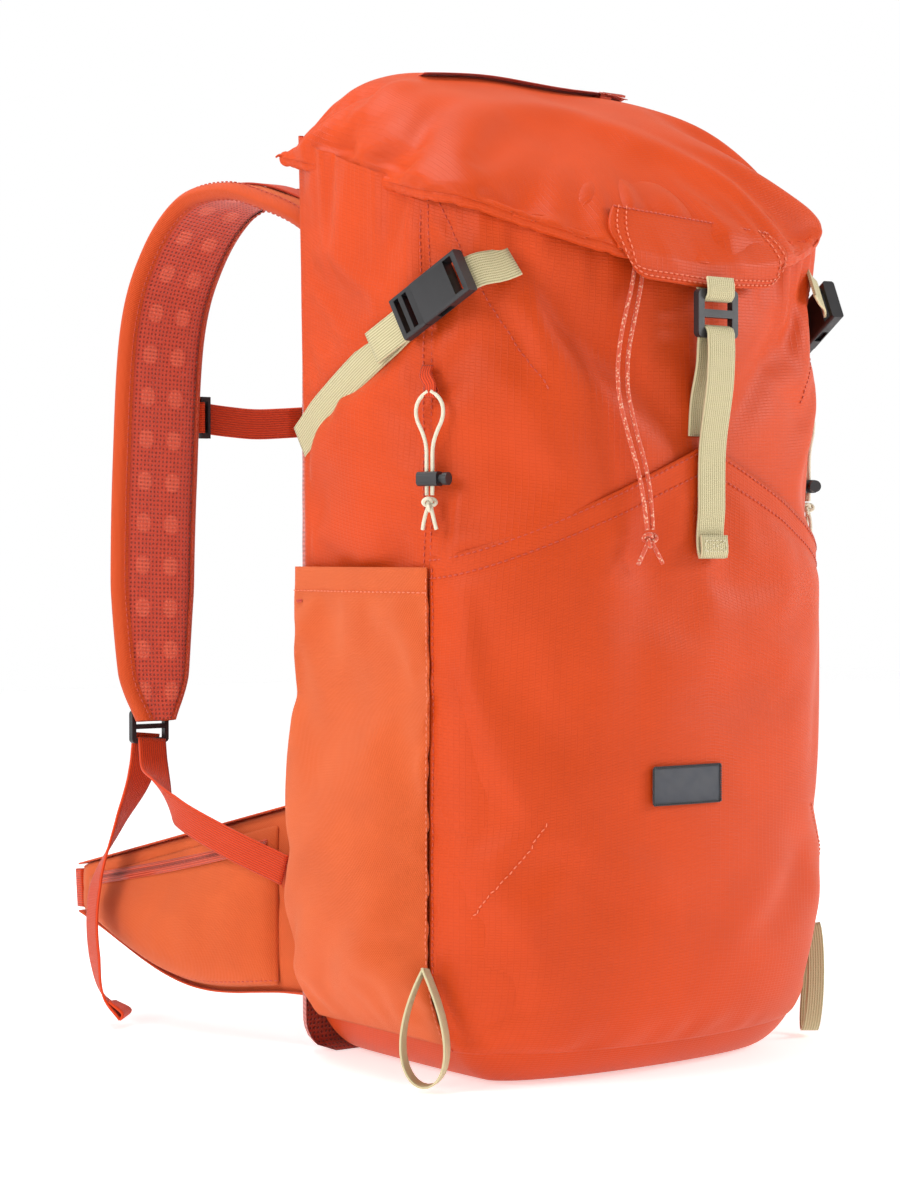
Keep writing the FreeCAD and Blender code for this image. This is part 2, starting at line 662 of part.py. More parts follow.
def make_pole_keeper(side, word):
    """An elastic cord loop, its cord lock and the tape tab that it hangs from."""
    tab_z, lock_z = size("pole_tab_z"), size("pole_lock_z")
    knot_z, cord = size("pole_knot_z"), size("pole_cord")
    half_gap, knot = size("pole_cord_gap") / 2, size("knot") / 2
    out = Vector(side * 0.93, -0.37, 0).normalize()
    ahead = Vector(-side * 0.37, -0.93, 0).normalize()
    seam = Vector(side * size("bag_width") / 2, SEAM_Y, 0)
    root = seam + out * (size("lock_size") / 2 + 3.6) + ahead * 4

    def at(s, z, lift=0.0):
        return root + ahead * s + out * lift + Vector(0, 0, z)

    tab = band([(seam + out * 2.7 + Vector(0, 0, tab_z + 8), ahead),
                (at(-1, tab_z + 4, -3.4), ahead), (at(0, tab_z - 5, -2.0), ahead)],
               size("small_tape"), size("tape_thick"))
    route = [(0.9, tab_z - 2.6), (5.6, tab_z - 5), (9.0, tab_z - 11), (8.6, tab_z - 18),
             (4.6, tab_z - 25), (half_gap, tab_z - 33), (half_gap + 0.2, tab_z - 45),
             (half_gap, knot_z + knot - 0.6)]
    strands = [tube([at(way * s, z) for s, z in route], cord) for way in (-1, 1)]
    soft(f"pole_cord_{word}", *strands)
    ball = Part.makeSphere(knot, at(0, knot_z - 0.6))
    for way in (-1, 1):
        end = Part.makeCylinder(cord / 2, 12, at(way * 2, knot_z - knot + 1.4),
                                Vector(0, 0, -1) + ahead * 0.25 * way)
        ball = ball.fuse(end)
    pose = Placement(at(0, lock_z), Rotation(ahead, Vector(0, 0, 1).cross(ahead),
                                             Vector(0, 0, 1), "XZY"))
    cord_lock(word, pose)
    return tab, ball


def make_gear_loop(side):
    """A tape loop at each lower front corner, hanging in a teardrop."""
    out = Vector(side * 0.8, -0.6, 0).normalize()
    top, drop = size("gear_loop_z"), size("gear_loop_drop")
    root = Vector(side * side_x(SEAM_Y, top), SEAM_Y, top) + out * (size("tape") / 2 + 6.8)
    across = Vector(0, 0, 1).cross(out)
    stations = []
    for turn in spread(0.2, 2 * math.pi - 0.2, 13):
        wide = -size("gear_loop_width") / 2 * math.sin(turn) * math.sin(turn / 2) * 1.3
        fall = -drop * (1 - math.cos(turn)) / 2
        stations.append((root + across * wide + Vector(0, 0, fall), out))
    return band(stations, size("tape"), size("tape_thick"))


# ------------------------------------------------------------- lid closure
def make_closure(front_hem):
    """The strap from the pocket's peak, up round the hook's bar and down again."""
    web, thick = size("webbing"), size("web_thick")
    peak = size("stash_peak")
    skin = front_y(0, peak) - size("stash_gap") - WALL
    rail, length = size("hook_rail"), size("hook_length")
    hook_foot = front_hem - size("tongue_drop") - 3 - length
    bar_z = hook_foot + rail / 2
    hook_y = skin - 6
    reach = math.hypot(rail, size("hook_thick")) / 2 + GAP + thick / 2
    back = [(skin + 6, peak + 6), (skin + 4.5, peak + 24), (skin + 0.5, bar_z - 18),
            (hook_y + reach, bar_z - 3)]
    turn = [(hook_y + reach * math.cos(a), bar_z + reach * math.sin(a))
            for a in spread(0.3, math.pi - 0.3, 6)]
    tail = [(hook_y - reach, bar_z - 3), (hook_y - reach + 0.5, bar_z - 22),
            (skin - 3, peak - 5), (skin - 2.4, peak - 40), (skin - 2.4, peak - 66)]
    soft("closure_strap", flat_strip(back + turn + tail, web, thick))
    hook = slotted_plate("lid_hook", "hook_length", "webbing + 2 * hook_rail + 1",
                         "hook_thick", "hook_rail", 3)
    placed(hook, "lid_hook", upright(0, hook_y, hook_foot - rail))
    top_bar = hook_foot + length - rail / 2
    around = [(hook_y + reach * math.cos(a), top_bar + reach * math.sin(a))
              for a in spread(0.4, -math.pi - 0.2, 7)]
    inside = lid_point(0, 1, size("lid_wall")).y + thick / 2 + 2 * GAP
    lip = front_hem - size("tongue_drop")
    under = [(inside, front_hem - 1.5), (inside, lip + 1), (inside - 2.2, lip - 2.4)]
    over = [(hook_y - reach, top_bar + 7)]
    soft("lid_loop", flat_strip(under + around + over, web, thick))


def make_drawcord():
    """The collar's drawcord: two ends that hang over the rim to their knot."""
    strands = [
        [(-44, -95.2, 474), (-46.5, -95.6, 462), (-51, -97.4, 447), (-58, -98.6, 428),
         (-63, -99.6, 408), (-64, -101, 388), (-59, -103.6, 366), (-53, -106, 345),
         (-50, -107.6, 326), (-49.2, -108.8, 312.7)],
        [(-39.5, -95.6, 475), (-41, -96, 463), (-44.5, -98, 449), (-50.5, -99.6, 431),
         (-56.5, -100.6, 411), (-58.5, -102, 391), (-54.5, -104.8, 369),
         (-48.5, -107, 348), (-45.6, -108.4, 328), (-45.6, -109.2, 313)],
    ]
    soft("drawcord", *[tube([Vector(*p) for p in route], size("drawcord"))
                       for route in strands])
    knot = Part.makeSphere(size("knot") / 2, Vector(-47.4, -109, 307.5))
    for way, lean in ((-1, -0.75), (1, 0.55)):
        end = Part.makeCylinder(size("drawcord") / 2, 13,
                                Vector(-47.4 + way * 2.2, -109.4, 304.5),
                                Vector(lean, -0.05, -1))
        knot = knot.fuse(end)
    soft("drawcord_knot", knot)


# ----------------------------------------------------------- shoulder harness
def strap_line():
    """Stations of a left shoulder strap, from its root: (centre, half width)."""
    root = size("strap_root_z")
    top = root + size("strap_arch_rise") + 14
    far = BACK_FACE + size("strap_reach")
    end = size("strap_end_z")
    lying = BACK_FACE + size("strap_thick") / 2 + GAP
    profile = [(lying, root - 24), (lying + 1.5, root - 13), (lying + 12, root + 3),
               (lying + 34, root + 15), (lying + 66, top - 8), (lying + 101, top - 14),
               (far - 16, top - 44), (far - 1, top - 92), (far, (top + end) / 2 - 10),
               (far - 3, end + 90), (far - 8, end + 34), (far - 12, end + 6)]
    shares = (0.9, 0.9, 0.92, 0.95, 1, 1, 1, 1, 1, 0.98, 0.82, 0.45)
    last = len(profile) - 1
    root_x, end_x = size("strap_root_x"), size("bag_width") / 2 + size("strap_end_out")
    stations = []
    for i, ((y, z), share) in enumerate(zip(profile, shares)):
        x = root_x + (end_x - root_x) * math.sin(math.pi / 2 * i / last)
        stations.append((Vector(-x, y, z), size("strap_width") / 2 * share))
    return stations


def strap_curve(count):
    """The left strap's centres and half widths at evenly spread parameters."""
    stations = strap_line()
    turns = list(range(len(stations)))
    line, widths = Part.BSplineCurve(), Part.BSplineCurve()
    line.interpolate(Points=[centre for centre, half in stations], Parameters=turns)
    widths.interpolate(Points=[Vector(i, half, 0) for i, (centre, half)
                               in enumerate(stations)], Parameters=turns)
    return [(line.value(t), widths.value(t).y) for t in spread(0, turns[-1], count)]


def strap_at(height):
    """The hanging strap's centre and half width at one height, on the left."""
    hanging = strap_curve(200)[100:]
    return min(hanging, key=lambda station: abs(station[0].z - height))


def make_shoulder_strap(side, word):
    stations = strap_curve(23)
    grids = ([], [])
    for i, (centre, half) in enumerate(stations):
        after, before = stations[min(i + 1, len(stations) - 1)][0], stations[max(i - 1, 0)][0]
        along = after - before
        out = Vector(0, -along.z, along.y).normalize() * (size("strap_thick") / 2)
        for grid, way in zip(grids, (1, -1)):
            grid.append([Vector(-side * (centre.x + x), centre.y, centre.z) + out * way
                         for x in spread(-half, half, 5)])
    soft(f"shoulder_strap_{word}", slab(*grids))


def make_ladder(side, word):
    """The ladder lock at a strap's end, its webbing and the anchor on the bag."""
    web, thick = size("webbing"), size("web_thick")
    end = strap_line()[-1][0]
    length, bar = size("ladder_length"), size("ladder_bar")
    lock_y = end.y + (size("strap_thick") + size("ladder_thick")) / 2 + 4 * GAP
    low = end.z - 4 - length / 2
    plate = slotted_plate(f"ladder_lock_{word}", "ladder_length",
                          "webbing + 2 * ladder_bar + 1", "ladder_thick", "ladder_bar", 2.5)
    placed(plate, f"ladder_lock_{word}", upright(side * -end.x, lock_y, low - bar))

    fin_x = size("bag_width") / 2 - size("back_inset") + GAP
    z, half = size("anchor_z"), size("anchor_height") / 2
    corner_y = BACK_Y + 1
    fin = [Vector(0, corner_y, z + half), Vector(0, corner_y, z - half),
           Vector(0, corner_y + size("anchor_reach"), z - 8),
           Vector(0, corner_y + size("anchor_reach"), z + 8)]
    tab = Part.Face(Part.makePolygon(fin + fin[:1])).extrude(Vector(side * 2, 0, 0))
    tab.translate(Vector(side * fin_x, 0, 0))

    def strap(path):
        return band([(mirrored(side, p, p.z), mirrored(side, a, a.z)) for p, a in path],
                    web, thick)

    wide = Vector(1, 0, 0)
    y = lock_y - size("ladder_thick") / 2 - thick
    lower = strap([(Vector(end.x, y, low + bar), wide),
                   (Vector(end.x - 1, y - 6, low - 16), wide),
                   (Vector(end.x - 7, y - 30, 146), Vector(0.8, 0.2, -0.6)),
                   (Vector(end.x - 11, y - 62, 129), Vector(0.2, 0.3, -0.95)),
                   (Vector(end.x - 5.5, y - 100, 117), Vector(0.05, 0.35, -0.95)),
                   (Vector(-fin_x - 4, corner_y + size("anchor_reach") - 8, z + 3),
                    Vector(0.05, 0.35, -0.95))])
    soft(f"strap_webbing_{word}", lower)

    y = lock_y + (size("ladder_thick") + thick) / 2 + 2 * GAP
    tail = strap([(Vector(end.x, y, low + 6), wide),
                  (Vector(end.x - 3, y + 2, low - 20), Vector(1, 0.1, 0)),
                  (Vector(end.x - 17, y + 4, low - 50), Vector(0.75, 0.65, 0)),
                  (Vector(end.x - 36, y + 3, low - 92), Vector(0.2, 1, 0)),
                  (Vector(end.x - 38, y, 44), Vector(0.2, 1, 0)),
                  (Vector(end.x - 35, y - 7, 19), Vector(0.45, 0.9, 0)),
                  (Vector(end.x - 26, y - 16, 6), Vector(0.75, 0.65, 0))])
    soft(f"strap_tail_{word}", tail)
    return tab


def make_sternum():
    """The chest strap between the shoulder straps, with its buckle."""
    web, thick, z = size("webbing"), size("web_thick"), size("sternum_z")
    centre, half = strap_at(z)
    inner = -centre.x - half - GAP
    back = size("plug_back") + size("plug_clear")
    reach = size("buckle_body") + size("buckle_frame")
    mouth = (back - reach) / 2
    facing = frame_at(Vector(), Vector(1, 0, 0), Vector(0, -1, 0)).Rotation
    pose = Placement(Vector(mouth, centre.y, z), facing)
    buckle_socket("sternum_socket", "webbing", pose)
    buckle_plug("sternum_plug", "webbing", pose)
    ends = {"left": mouth - back + size("buckle_bar") + thick,
            "right": mouth + reach - size("buckle_bar") - thick - GAP}
    up, out = Vector(0, 0, 1), Vector(0, -1, 0)
    clip_back = Vector(0, (size("clip_height") + thick) / 2 + GAP, 0)
    behind = Vector(0, size("buckle_height") / 2 + thick / 2 + GAP, 0)
    for side, word in ((-1, "left"), (1, "right")):
        tag = f"sternum_clip_{word}_"
        clip = cut(tag + "cut",
                   block(tag + "block", "clip_length", "webbing + clip_length", "clip_height",
                         "0"),
                   block(tag + "slot", "clip_slot", "webbing + 1", "2 * clip_height",
                         "clip_bar"))
        turned = frame_at(Vector(), Vector(-side, 0, 0), out).Rotation
        placed(clip, f"sternum_clip_{word}",
               Placement(Vector(side * (inner - GAP), centre.y, z), turned))
        clip_end = inner - GAP - size("clip_length")
        start = Vector(side * (clip_end + size("clip_slot")), centre.y, z) + clip_back
        end = Vector(ends[word], centre.y, z) + behind
        middle = (start + end) / 2 + Vector(0, 1.5, -3)
        soft(f"sternum_webbing_{word}", band([(start, up), (middle, up), (end, up)],
                                             web, thick))


# ------------------------------------------------------------------ hip belt
WING_STAND = GAP + size("wing_thick") / 2 * size("wing_spread") / size("wing_length")


def wing_line(share):
    """Where a left wing's middle lies in plan at a share of its length."""
    root_x = size("wing_root_inset") - size("bag_width") / 2
    return Vector(root_x - size("wing_spread") * share,
                  BACK_FACE + WING_STAND + size("wing_length") * share, 0)


def wing_out():
    """The way that the outer face of a left wing looks."""
    return Vector(-size("wing_length"), -size("wing_spread"), 0).normalize()


def wing_edges(share):
    """The lower and upper edge of a wing at a share of its length."""
    top = size("wing_root_top") + (size("wing_tip_top") - size("wing_root_top")) * share
    low = size("wing_root_bottom") + (
        size("wing_tip_bottom") - size("wing_root_bottom")) * share**2.2
    belly = (size("wing_root_bottom") - size("wing_belly")) * math.sin(math.pi * share) ** 2
    return low - belly, top


def make_wing(side, word):
    half, out = size("wing_thick") / 2, wing_out()
    grids = ([], [])
    for share in spread(0, 1, 9):
        for grid, way in zip(grids, (1, -1)):
            q = wing_line(share) + out * (half * way)
            grid.append([mirrored(side, q, z) for z in spread(*wing_edges(share), 5)])
    soft(f"hip_wing_{word}", slab(*grids))
    skins, band_rows = ([], []), ([], [])
    for i, share in enumerate(spread(0.1, 0.94, 11)):
        low, top = wing_edges(share)
        end = math.sin(math.pi * i / 10) ** 0.5 if 0 < i < 10 else 0.0
        rows = ([], [])
        for k, z in enumerate(spread(low, top - size("zip_width"), 9)):
            rise = (8 - k) / 8
            belly = math.sin(math.pi * rise**0.7) ** 0.8 if 0 < k < 8 else 0.0
            for row, lift in zip(rows, (size("hip_pocket_bulge") * belly * end + 1.2, 0.0)):
                q = wing_line(share) + out * (half + GAP + lift)
                row.append(mirrored(side, q, z))
        skins[0].append(rows[0])
        skins[1].append(rows[1])
    for share in spread(0.12, 0.92, 5):
        top = wing_edges(share)[1]
        for rows, lift in zip(band_rows, (size("zip_thick"), 0.0)):
            q = wing_line(share) + out * (half + GAP + lift)
            rows.append([mirrored(side, q, z) for z in
                         spread(top - size("zip_width") + GAP, top - 4, 3)])
    soft(f"hip_pocket_{word}", slab(*skins), slab(*band_rows))
    share = 0.3
    at = mirrored(side, wing_line(share) + out * (half + 2 * GAP + size("zip_thick")),
                  wing_edges(share)[1] - size("zip_width") / 2 - 2)
    step = wing_line(1) - wing_line(0)
    fall = wing_edges(1)[1] - wing_edges(0)[1]
    zip_slider(f"hip_zip_slider_{word}", at, Vector(-side * step.x, step.y, fall),
               Vector(-side * out.x, out.y, 0))


def make_belt():
    """Belt webbing behind the pack, closed by the big buckle at its middle."""
    web, thick, z = size("belt_webbing"), size("web_thick"), size("belt_z")
    tip = wing_line(1)
    far = tip.y + size("belt_sag")
    back = size("plug_back") + size("plug_clear")
    reach = size("buckle_body") + size("buckle_frame")
    mouth = (back - reach) / 2
    pose = Placement(Vector(mouth, far, z),
                     frame_at(Vector(), Vector(1, 0, 0), Vector(0, 1, 0)).Rotation)
    buckle_socket("hip_socket", "belt_webbing", pose)
    buckle_plug("hip_plug", "belt_webbing", pose)
    ends = {"left": mouth - back + size("buckle_bar") + thick,
            "right": mouth + reach - size("buckle_bar") - thick - GAP}
    up, inner = Vector(0, 0, 1), far - (size("buckle_height") + thick) / 2 - GAP / 2
    for side, word in ((-1, "left"), (1, "right")):
        x, y = side * -tip.x, tip.y + 2.5 * GAP
        strap = band([(Vector(x, y, z), up), (Vector(x * 0.985, y + 12, z - 1), up),
                      (Vector(x * 0.86, inner - 2, z - 3), up),
                      (Vector(x * 0.5, inner, z - 4), up), (Vector(ends[word], inner, z), up)],
                     web, thick)
        soft(f"hip_webbing_{word}", strap)


def zip_slider(label, at, along, outward):
    """A slider with its pull, sitting on its zip."""
    tag = label + "_"
    pull = "slider_height + 0.5 * pull_thick + 0.9"
    pieces = [block(tag + "foot", "slider_length", "slider_width", "slider_height",
                    "-slider_length / 2", "0", "slider_height / 2"),
              block(tag + "bridge", "bridge_length", "slider_width * 0.3",
                    "slider_height * 0.75", "-bridge_length / 2", "0",
                    "slider_height * 1.3"),
              block(tag + "pull", "pull_length", "slider_width * 0.65", "pull_thick",
                    "bridge_length * 0.3", "0", pull)]
    placed(joined(tag + "whole", *pieces), label, frame_at(at, along, outward))


def make_haul_loop():
    """A rope handle that stands behind the lid at the top of the back panel."""
    rope = size("haul_rope")
    y, foot = BACK_FACE + rope / 2 + 2 * GAP, size("back_panel_top") - 10
    stations = [(Vector(-36 * math.cos(t), y, foot + 56 * math.sin(t) ** 0.8),
                 Vector(0, 1, 0)) for t in spread(0, math.pi, 11)]
    return band(stations, rope, rope * 0.8)


# ------------------------------------------------------------------ assembly
SIDES = ((-1, "left"), (1, "right"))
make_bag()
make_collar()
make_back()
make_stash_pocket()
make_side_pockets()
front_hem = make_lid()
make_lid_zip()
make_closure(front_hem)
make_drawcord()
soft("compression_stubs", *[make_compression(*which) for which in SIDES])
keepers = [make_pole_keeper(*which) for which in SIDES]
soft("pole_knots", *[knot for tab, knot in keepers])
for which in SIDES:
    make_shoulder_strap(*which)
anchors = [make_ladder(*which) for which in SIDES]
soft("sewn_tabs", *[tab for tab, knot in keepers], *anchors)
soft("gear_loops", *[make_gear_loop(side) for side, word in SIDES])
make_sternum()
for which in SIDES:
    make_wing(*which)
make_belt()
soft("haul_loop", make_haul_loop())
doc.recompute()

for obj in doc.Objects:
    if "Invalid" in obj.State or "Error" in obj.State:
        raise SystemExit(f"{obj.Label} failed: {obj.State}")
for obj in SUB_PARTS:
    if obj.Shape.isNull() or not obj.Shape.isValid():
        raise SystemExit(f"{obj.Label} is not a valid solid")
os.makedirs("parts", exist_ok=True)
for obj in SUB_PARTS:
    obj.Shape.exportStep(f"parts/{obj.Label}.step")
print(len(SUB_PARTS), "sub-parts")
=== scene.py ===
"""The looks of a hiking daypack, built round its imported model.

Metres, +Z up, the wearer's back towards +Y, the origin on the floor.
"""

import math
import random

import bpy
import numpy as np
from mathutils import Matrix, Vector, noise


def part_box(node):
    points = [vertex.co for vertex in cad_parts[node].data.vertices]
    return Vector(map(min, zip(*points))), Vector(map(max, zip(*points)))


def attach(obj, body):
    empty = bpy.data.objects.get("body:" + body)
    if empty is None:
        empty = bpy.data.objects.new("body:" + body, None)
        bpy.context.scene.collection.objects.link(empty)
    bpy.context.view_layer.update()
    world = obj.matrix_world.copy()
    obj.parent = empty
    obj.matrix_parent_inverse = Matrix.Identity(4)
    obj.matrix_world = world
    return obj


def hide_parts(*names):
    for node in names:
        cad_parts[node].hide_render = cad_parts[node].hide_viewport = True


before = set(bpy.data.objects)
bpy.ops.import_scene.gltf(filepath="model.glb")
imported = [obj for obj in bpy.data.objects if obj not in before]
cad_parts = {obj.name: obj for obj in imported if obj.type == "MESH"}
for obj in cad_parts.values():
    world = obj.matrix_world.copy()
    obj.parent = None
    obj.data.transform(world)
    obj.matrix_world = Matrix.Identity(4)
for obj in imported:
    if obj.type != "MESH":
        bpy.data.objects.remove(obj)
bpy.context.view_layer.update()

# ------------------------------------------------------------------ studio
# A white sweep and sky, two soft lights at the sides and one overhead, and an
# 80 mm lens level with the middle of the pack.
TURN = math.radians(-37)
EYE_DISTANCE, EYE_HEIGHT, EYE_SIDE = 1.600, 0.300, -0.083


def linear(code):
    """An sRGB hex colour as linear RGBA."""
    parts = [int(code[i:i + 2], 16) / 255 for i in (0, 2, 4)]
    bent = [c / 12.92 if c <= 0.04045 else ((c + 0.055) / 1.055) ** 2.4 for c in parts]
    return (*bent, 1.0)


def add(tree, kind, settings=(), inputs=()):
    """Adds a shader node with its settings and links, and returns its outputs."""
    made = tree.nodes.new("ShaderNode" + kind)
    for name, value in dict(settings).items():
        setattr(made, name, value)
    for slot, value in dict(inputs).items():
        if isinstance(value, bpy.types.NodeSocket):
            tree.links.new(value, made.inputs[slot])
        else:
            made.inputs[slot].default_value = value
    return made.outputs


lens = bpy.data.cameras.new("camera")
lens.sensor_fit, lens.sensor_height, lens.lens = "VERTICAL", 36, 80.4
camera = bpy.data.objects.new("camera", lens)
ahead = Vector((-math.sin(TURN), math.cos(TURN), 0))
right = Vector((math.cos(TURN), math.sin(TURN), 0))
camera.location = right * EYE_SIDE - ahead * EYE_DISTANCE + Vector((0, 0, EYE_HEIGHT))
camera.rotation_euler = (math.radians(90 - 1.005), 0, TURN)
bpy.context.collection.objects.link(camera)
bpy.context.scene.camera = camera

for name, place, width, power in (
        ("soft_left", (-1.7, -0.1, 0.95), 0.8, 13),
        ("soft_right", (1.5, -1.15, 1.0), 0.6, 21),
        ("soft_top", (-0.4, 0.2, 1.6), 0.7, 13)):
    light = bpy.data.lights.new(name, "AREA")
    light.size, light.energy = width, power
    lamp = bpy.data.objects.new(name, light)
    lamp.location = place
    lamp.rotation_euler = (Vector((0, 0, 0.3)) - lamp.location).to_track_quat("-Z", "Y").to_euler()
    bpy.context.collection.objects.link(lamp)

world = bpy.data.worlds.new("white_room")
world.use_nodes = True
sky = world.node_tree.nodes["Background"]
sky.inputs[0].default_value = (1, 1, 1, 1)
heading = add(world.node_tree, "TexCoord")[0]
height = add(world.node_tree, "SeparateXYZ", {}, {0: heading})[2]
glow = add(world.node_tree, "MapRange", {"interpolation_type": "SMOOTHSTEP"},
           {"Value": height, "From Min": 0.24, "From Max": 0.46, "To Min": 1.0,
            "To Max": 0.45})[0]
world.node_tree.links.new(glow, sky.inputs[1])
bpy.context.scene.world = world
bpy.context.scene.view_settings.view_transform = "Standard"

floor_paint = bpy.data.materials.new("white_floor_paint")
floor_paint.use_nodes = True
floor_look = floor_paint.node_tree.nodes["Principled BSDF"]
floor_look.inputs["Base Color"].default_value = linear("F4F4F4")
floor_look.inputs["Roughness"].default_value = 0.8
floor_look.inputs["Emission Color"].default_value = (1, 1, 1, 1)
floor_look.inputs["Emission Strength"].default_value = 0.50
bpy.ops.mesh.primitive_plane_add(size=8, location=(0, 0, 0))
floor = bpy.context.object
floor.name = "floor"
floor.data.materials.append(floor_paint)


# --------------------------------------------------------------- drawcord
# The collar's drawcord: 2.4 mm braided nylon, orange with light flecks woven
# in, whose two ends hang over the rim and are tied together in one knot.
DRAWCORD = 0.0024
drawcord_routes = {
    "drawcord_outer": [
        (-0.044, -0.0952, 0.474), (-0.0465, -0.0956, 0.462), (-0.051, -0.0974, 0.447),
        (-0.058, -0.0986, 0.428), (-0.063, -0.0996, 0.408), (-0.064, -0.101, 0.388),
        (-0.059, -0.1036, 0.366), (-0.053, -0.106, 0.345), (-0.050, -0.1076, 0.326),
        (-0.0492, -0.1088, 0.3127)],
    "drawcord_inner": [
        (-0.0395, -0.0956, 0.475), (-0.041, -0.096, 0.463), (-0.0445, -0.098, 0.449),
        (-0.0505, -0.0996, 0.431), (-0.0565, -0.1006, 0.411), (-0.0585, -0.102, 0.391),
        (-0.0545, -0.1048, 0.369), (-0.0485, -0.107, 0.348), (-0.0456, -0.1084, 0.328),
        (-0.0456, -0.1092, 0.313)],
}


def object_place(tree):
    """Where a point lies on the whole object, in millimetres, on three axes."""
    place = add(tree, "TexCoord")[3]
    return add(tree, "VectorMath", {"operation": "SCALE"}, {0: place, "Scale": 1000.0})[0]


def finish_surface(tree, colour, roughness, bump, settings):
    """Ends a material: colour, roughness and bump reach one shader."""
    look = {"Base Color": colour, "Roughness": roughness, **settings}
    if bump is not None:
        height, distance = bump
        look["Normal"] = add(tree, "Bump", {}, {"Strength": 1.0, "Distance": distance,
                                                "Height": height})[0]
    shader = add(tree, "BsdfPrincipled", {}, look)[0]
    add(tree, "OutputMaterial", {}, {0: shader})


def new_material(name):
    material = bpy.data.materials.new(name)
    material.use_nodes = True
    material.node_tree.nodes.clear()
    return material, material.node_tree


def braided_cord(name, colour, fleck, flecked, strand):
    """Braided nylon or elastic sheath: its strands cross every few tenths of
    a millimetre, drawn here about twice as coarse so that they show."""
    material, tree = new_material(name)
    place = object_place(tree)
    cells = add(tree, "TexVoronoi", {}, {"Vector": place, "Scale": 1 / strand,
                                         "Randomness": 0.35})
    hit = add(tree, "TexVoronoi", {}, {"Vector": place, "Scale": 0.62, "Randomness": 0.9})
    near = add(tree, "MapRange", {}, {"Value": hit[0], "From Min": 0.30, "From Max": 0.42,
                                      "To Min": flecked, "To Max": 0.0})[0]
    tone = add(tree, "Mix", {"data_type": "RGBA"}, {0: near, 6: colour, 7: fleck})[2]
    rough = add(tree, "MapRange", {}, {"Value": cells[0], "To Min": 0.5, "To Max": 0.8})[0]
    finish_surface(tree, tone, rough, (cells[0], 0.0004),
                   {"Sheen Weight": 0.3, "Sheen Roughness": 0.5})
    return material


def sewn_on(piece, body, slot, *nodes):
    """Fixes a piece to its body, in place of the CAD nodes that it stands for."""
    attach(piece, body)
    if nodes:
        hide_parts(*nodes)


def cord_curve(name, diameter, rings, material):
    """An empty curve with a cord's round section."""
    line = bpy.data.curves.new(name, "CURVE")
    line.dimensions = "3D"
    line.bevel_depth, line.bevel_resolution, line.use_fill_caps = diameter / 2, rings, True
    line.materials.append(material)
    cord = bpy.data.objects.new(name, line)
    bpy.context.collection.objects.link(cord)
    return cord, line


def smooth_run(line, places, closed=False):
    """Adds one smooth run to a curve, with the places as its control points."""
    spline = line.splines.new("NURBS")
    spline.points.add(len(places) - 1)
    for point, place in zip(spline.points, places):
        point.co = (*place, 1)
    spline.order_u = 3
    spline.use_cyclic_u, spline.use_endpoint_u = closed, not closed
    return spline


def hang_cord(name, route, diameter, material, slot, node):
    """A free cord on one smooth spline, with the route's points as its hull."""
    cord, line = cord_curve(name, diameter, 4, material)
    smooth_run(line, route).resolution_u = 10
    sewn_on(cord, "root", slot, node)
    return cord


def overhand_knot(name, centre, radius, thick, tails, material, slot, nodes):
    """A tight trefoil of cord with its two ends."""
    knot, line = cord_curve(name, thick, 3, material)
    scale = (radius - thick * 0.45) / 3
    loop = []
    for k in range(36):
        t = 2 * math.pi * k / 36
        turn = Vector((math.sin(t) + 2 * math.sin(2 * t), -1.1 * math.sin(3 * t),
                       math.cos(t) - 2 * math.cos(2 * t)))
        loop.append(centre + turn * scale)
    smooth_run(line, loop, closed=True)
    for tail in tails:
        smooth_run(line, tail)
    sewn_on(knot, "root", slot, *nodes)
    return knot


flecked_cord = braided_cord("flecked_nylon_cord", linear("CC4A22"), linear("F0C9A8"), 0.6, 0.7)
centre = Vector((-0.0474, -0.109, 0.3075))
ends = [[centre + Vector((-0.0015, 0, -0.002)), centre + Vector((-0.006, -0.0012, -0.008)),
         centre + Vector((-0.0095, -0.001, -0.014))],
        [centre + Vector((0.0015, 0, -0.002)), centre + Vector((0.005, -0.0012, -0.008)),
         centre + Vector((0.0085, -0.001, -0.0135))]]
knot = overhand_knot("drawcord_overhand", centre, 0.0052, 0.0023, ends, flecked_cord,
                     "orange_cord", ["drawcord_knot"])
for name, route in drawcord_routes.items():
    cord = hang_cord(name, route, DRAWCORD, flecked_cord, "orange_cord", "drawcord")

# ------------------------------------------------------------- pole cords
# An elastic cord loop on each side seam, 2.2 mm sheathed rubber in tan, that
# holds a pole's shaft.  It hangs from a tape tab, runs through a sprung cord
# lock and ends in one knot.
POLE_CORD, POLE_CORD_GAP = 0.0022, 0.0036
TAB_Z, KNOT_Z = 0.392, 0.328
LOCK_STAND, KNOT_RADIUS = 0.0076, 0.0045
front_low, front_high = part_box("front_panel")
side_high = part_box("side_panel_left")[1]
HALF_WIDTH, SEAM_Y, BACK_Y = front_high.x, front_high.y, side_high.y
FRONT_BULGE = SEAM_Y - front_low.y

tan_elastic = braided_cord("tan_elastic_cord", linear("DDD5BC"), linear("CFC6A9"), 0.3, 0.6)


def keeper_axes(side):
    """Root of a side's cord keeper, the way ahead along it and the way out."""
    out = Vector((side * 0.93, -0.37, 0)).normalized()
    along = Vector((-side * 0.37, -0.93, 0)).normalized()
    root = Vector((side * HALF_WIDTH, SEAM_Y, 0)) + out * LOCK_STAND + along * 0.004
    return root, along, out


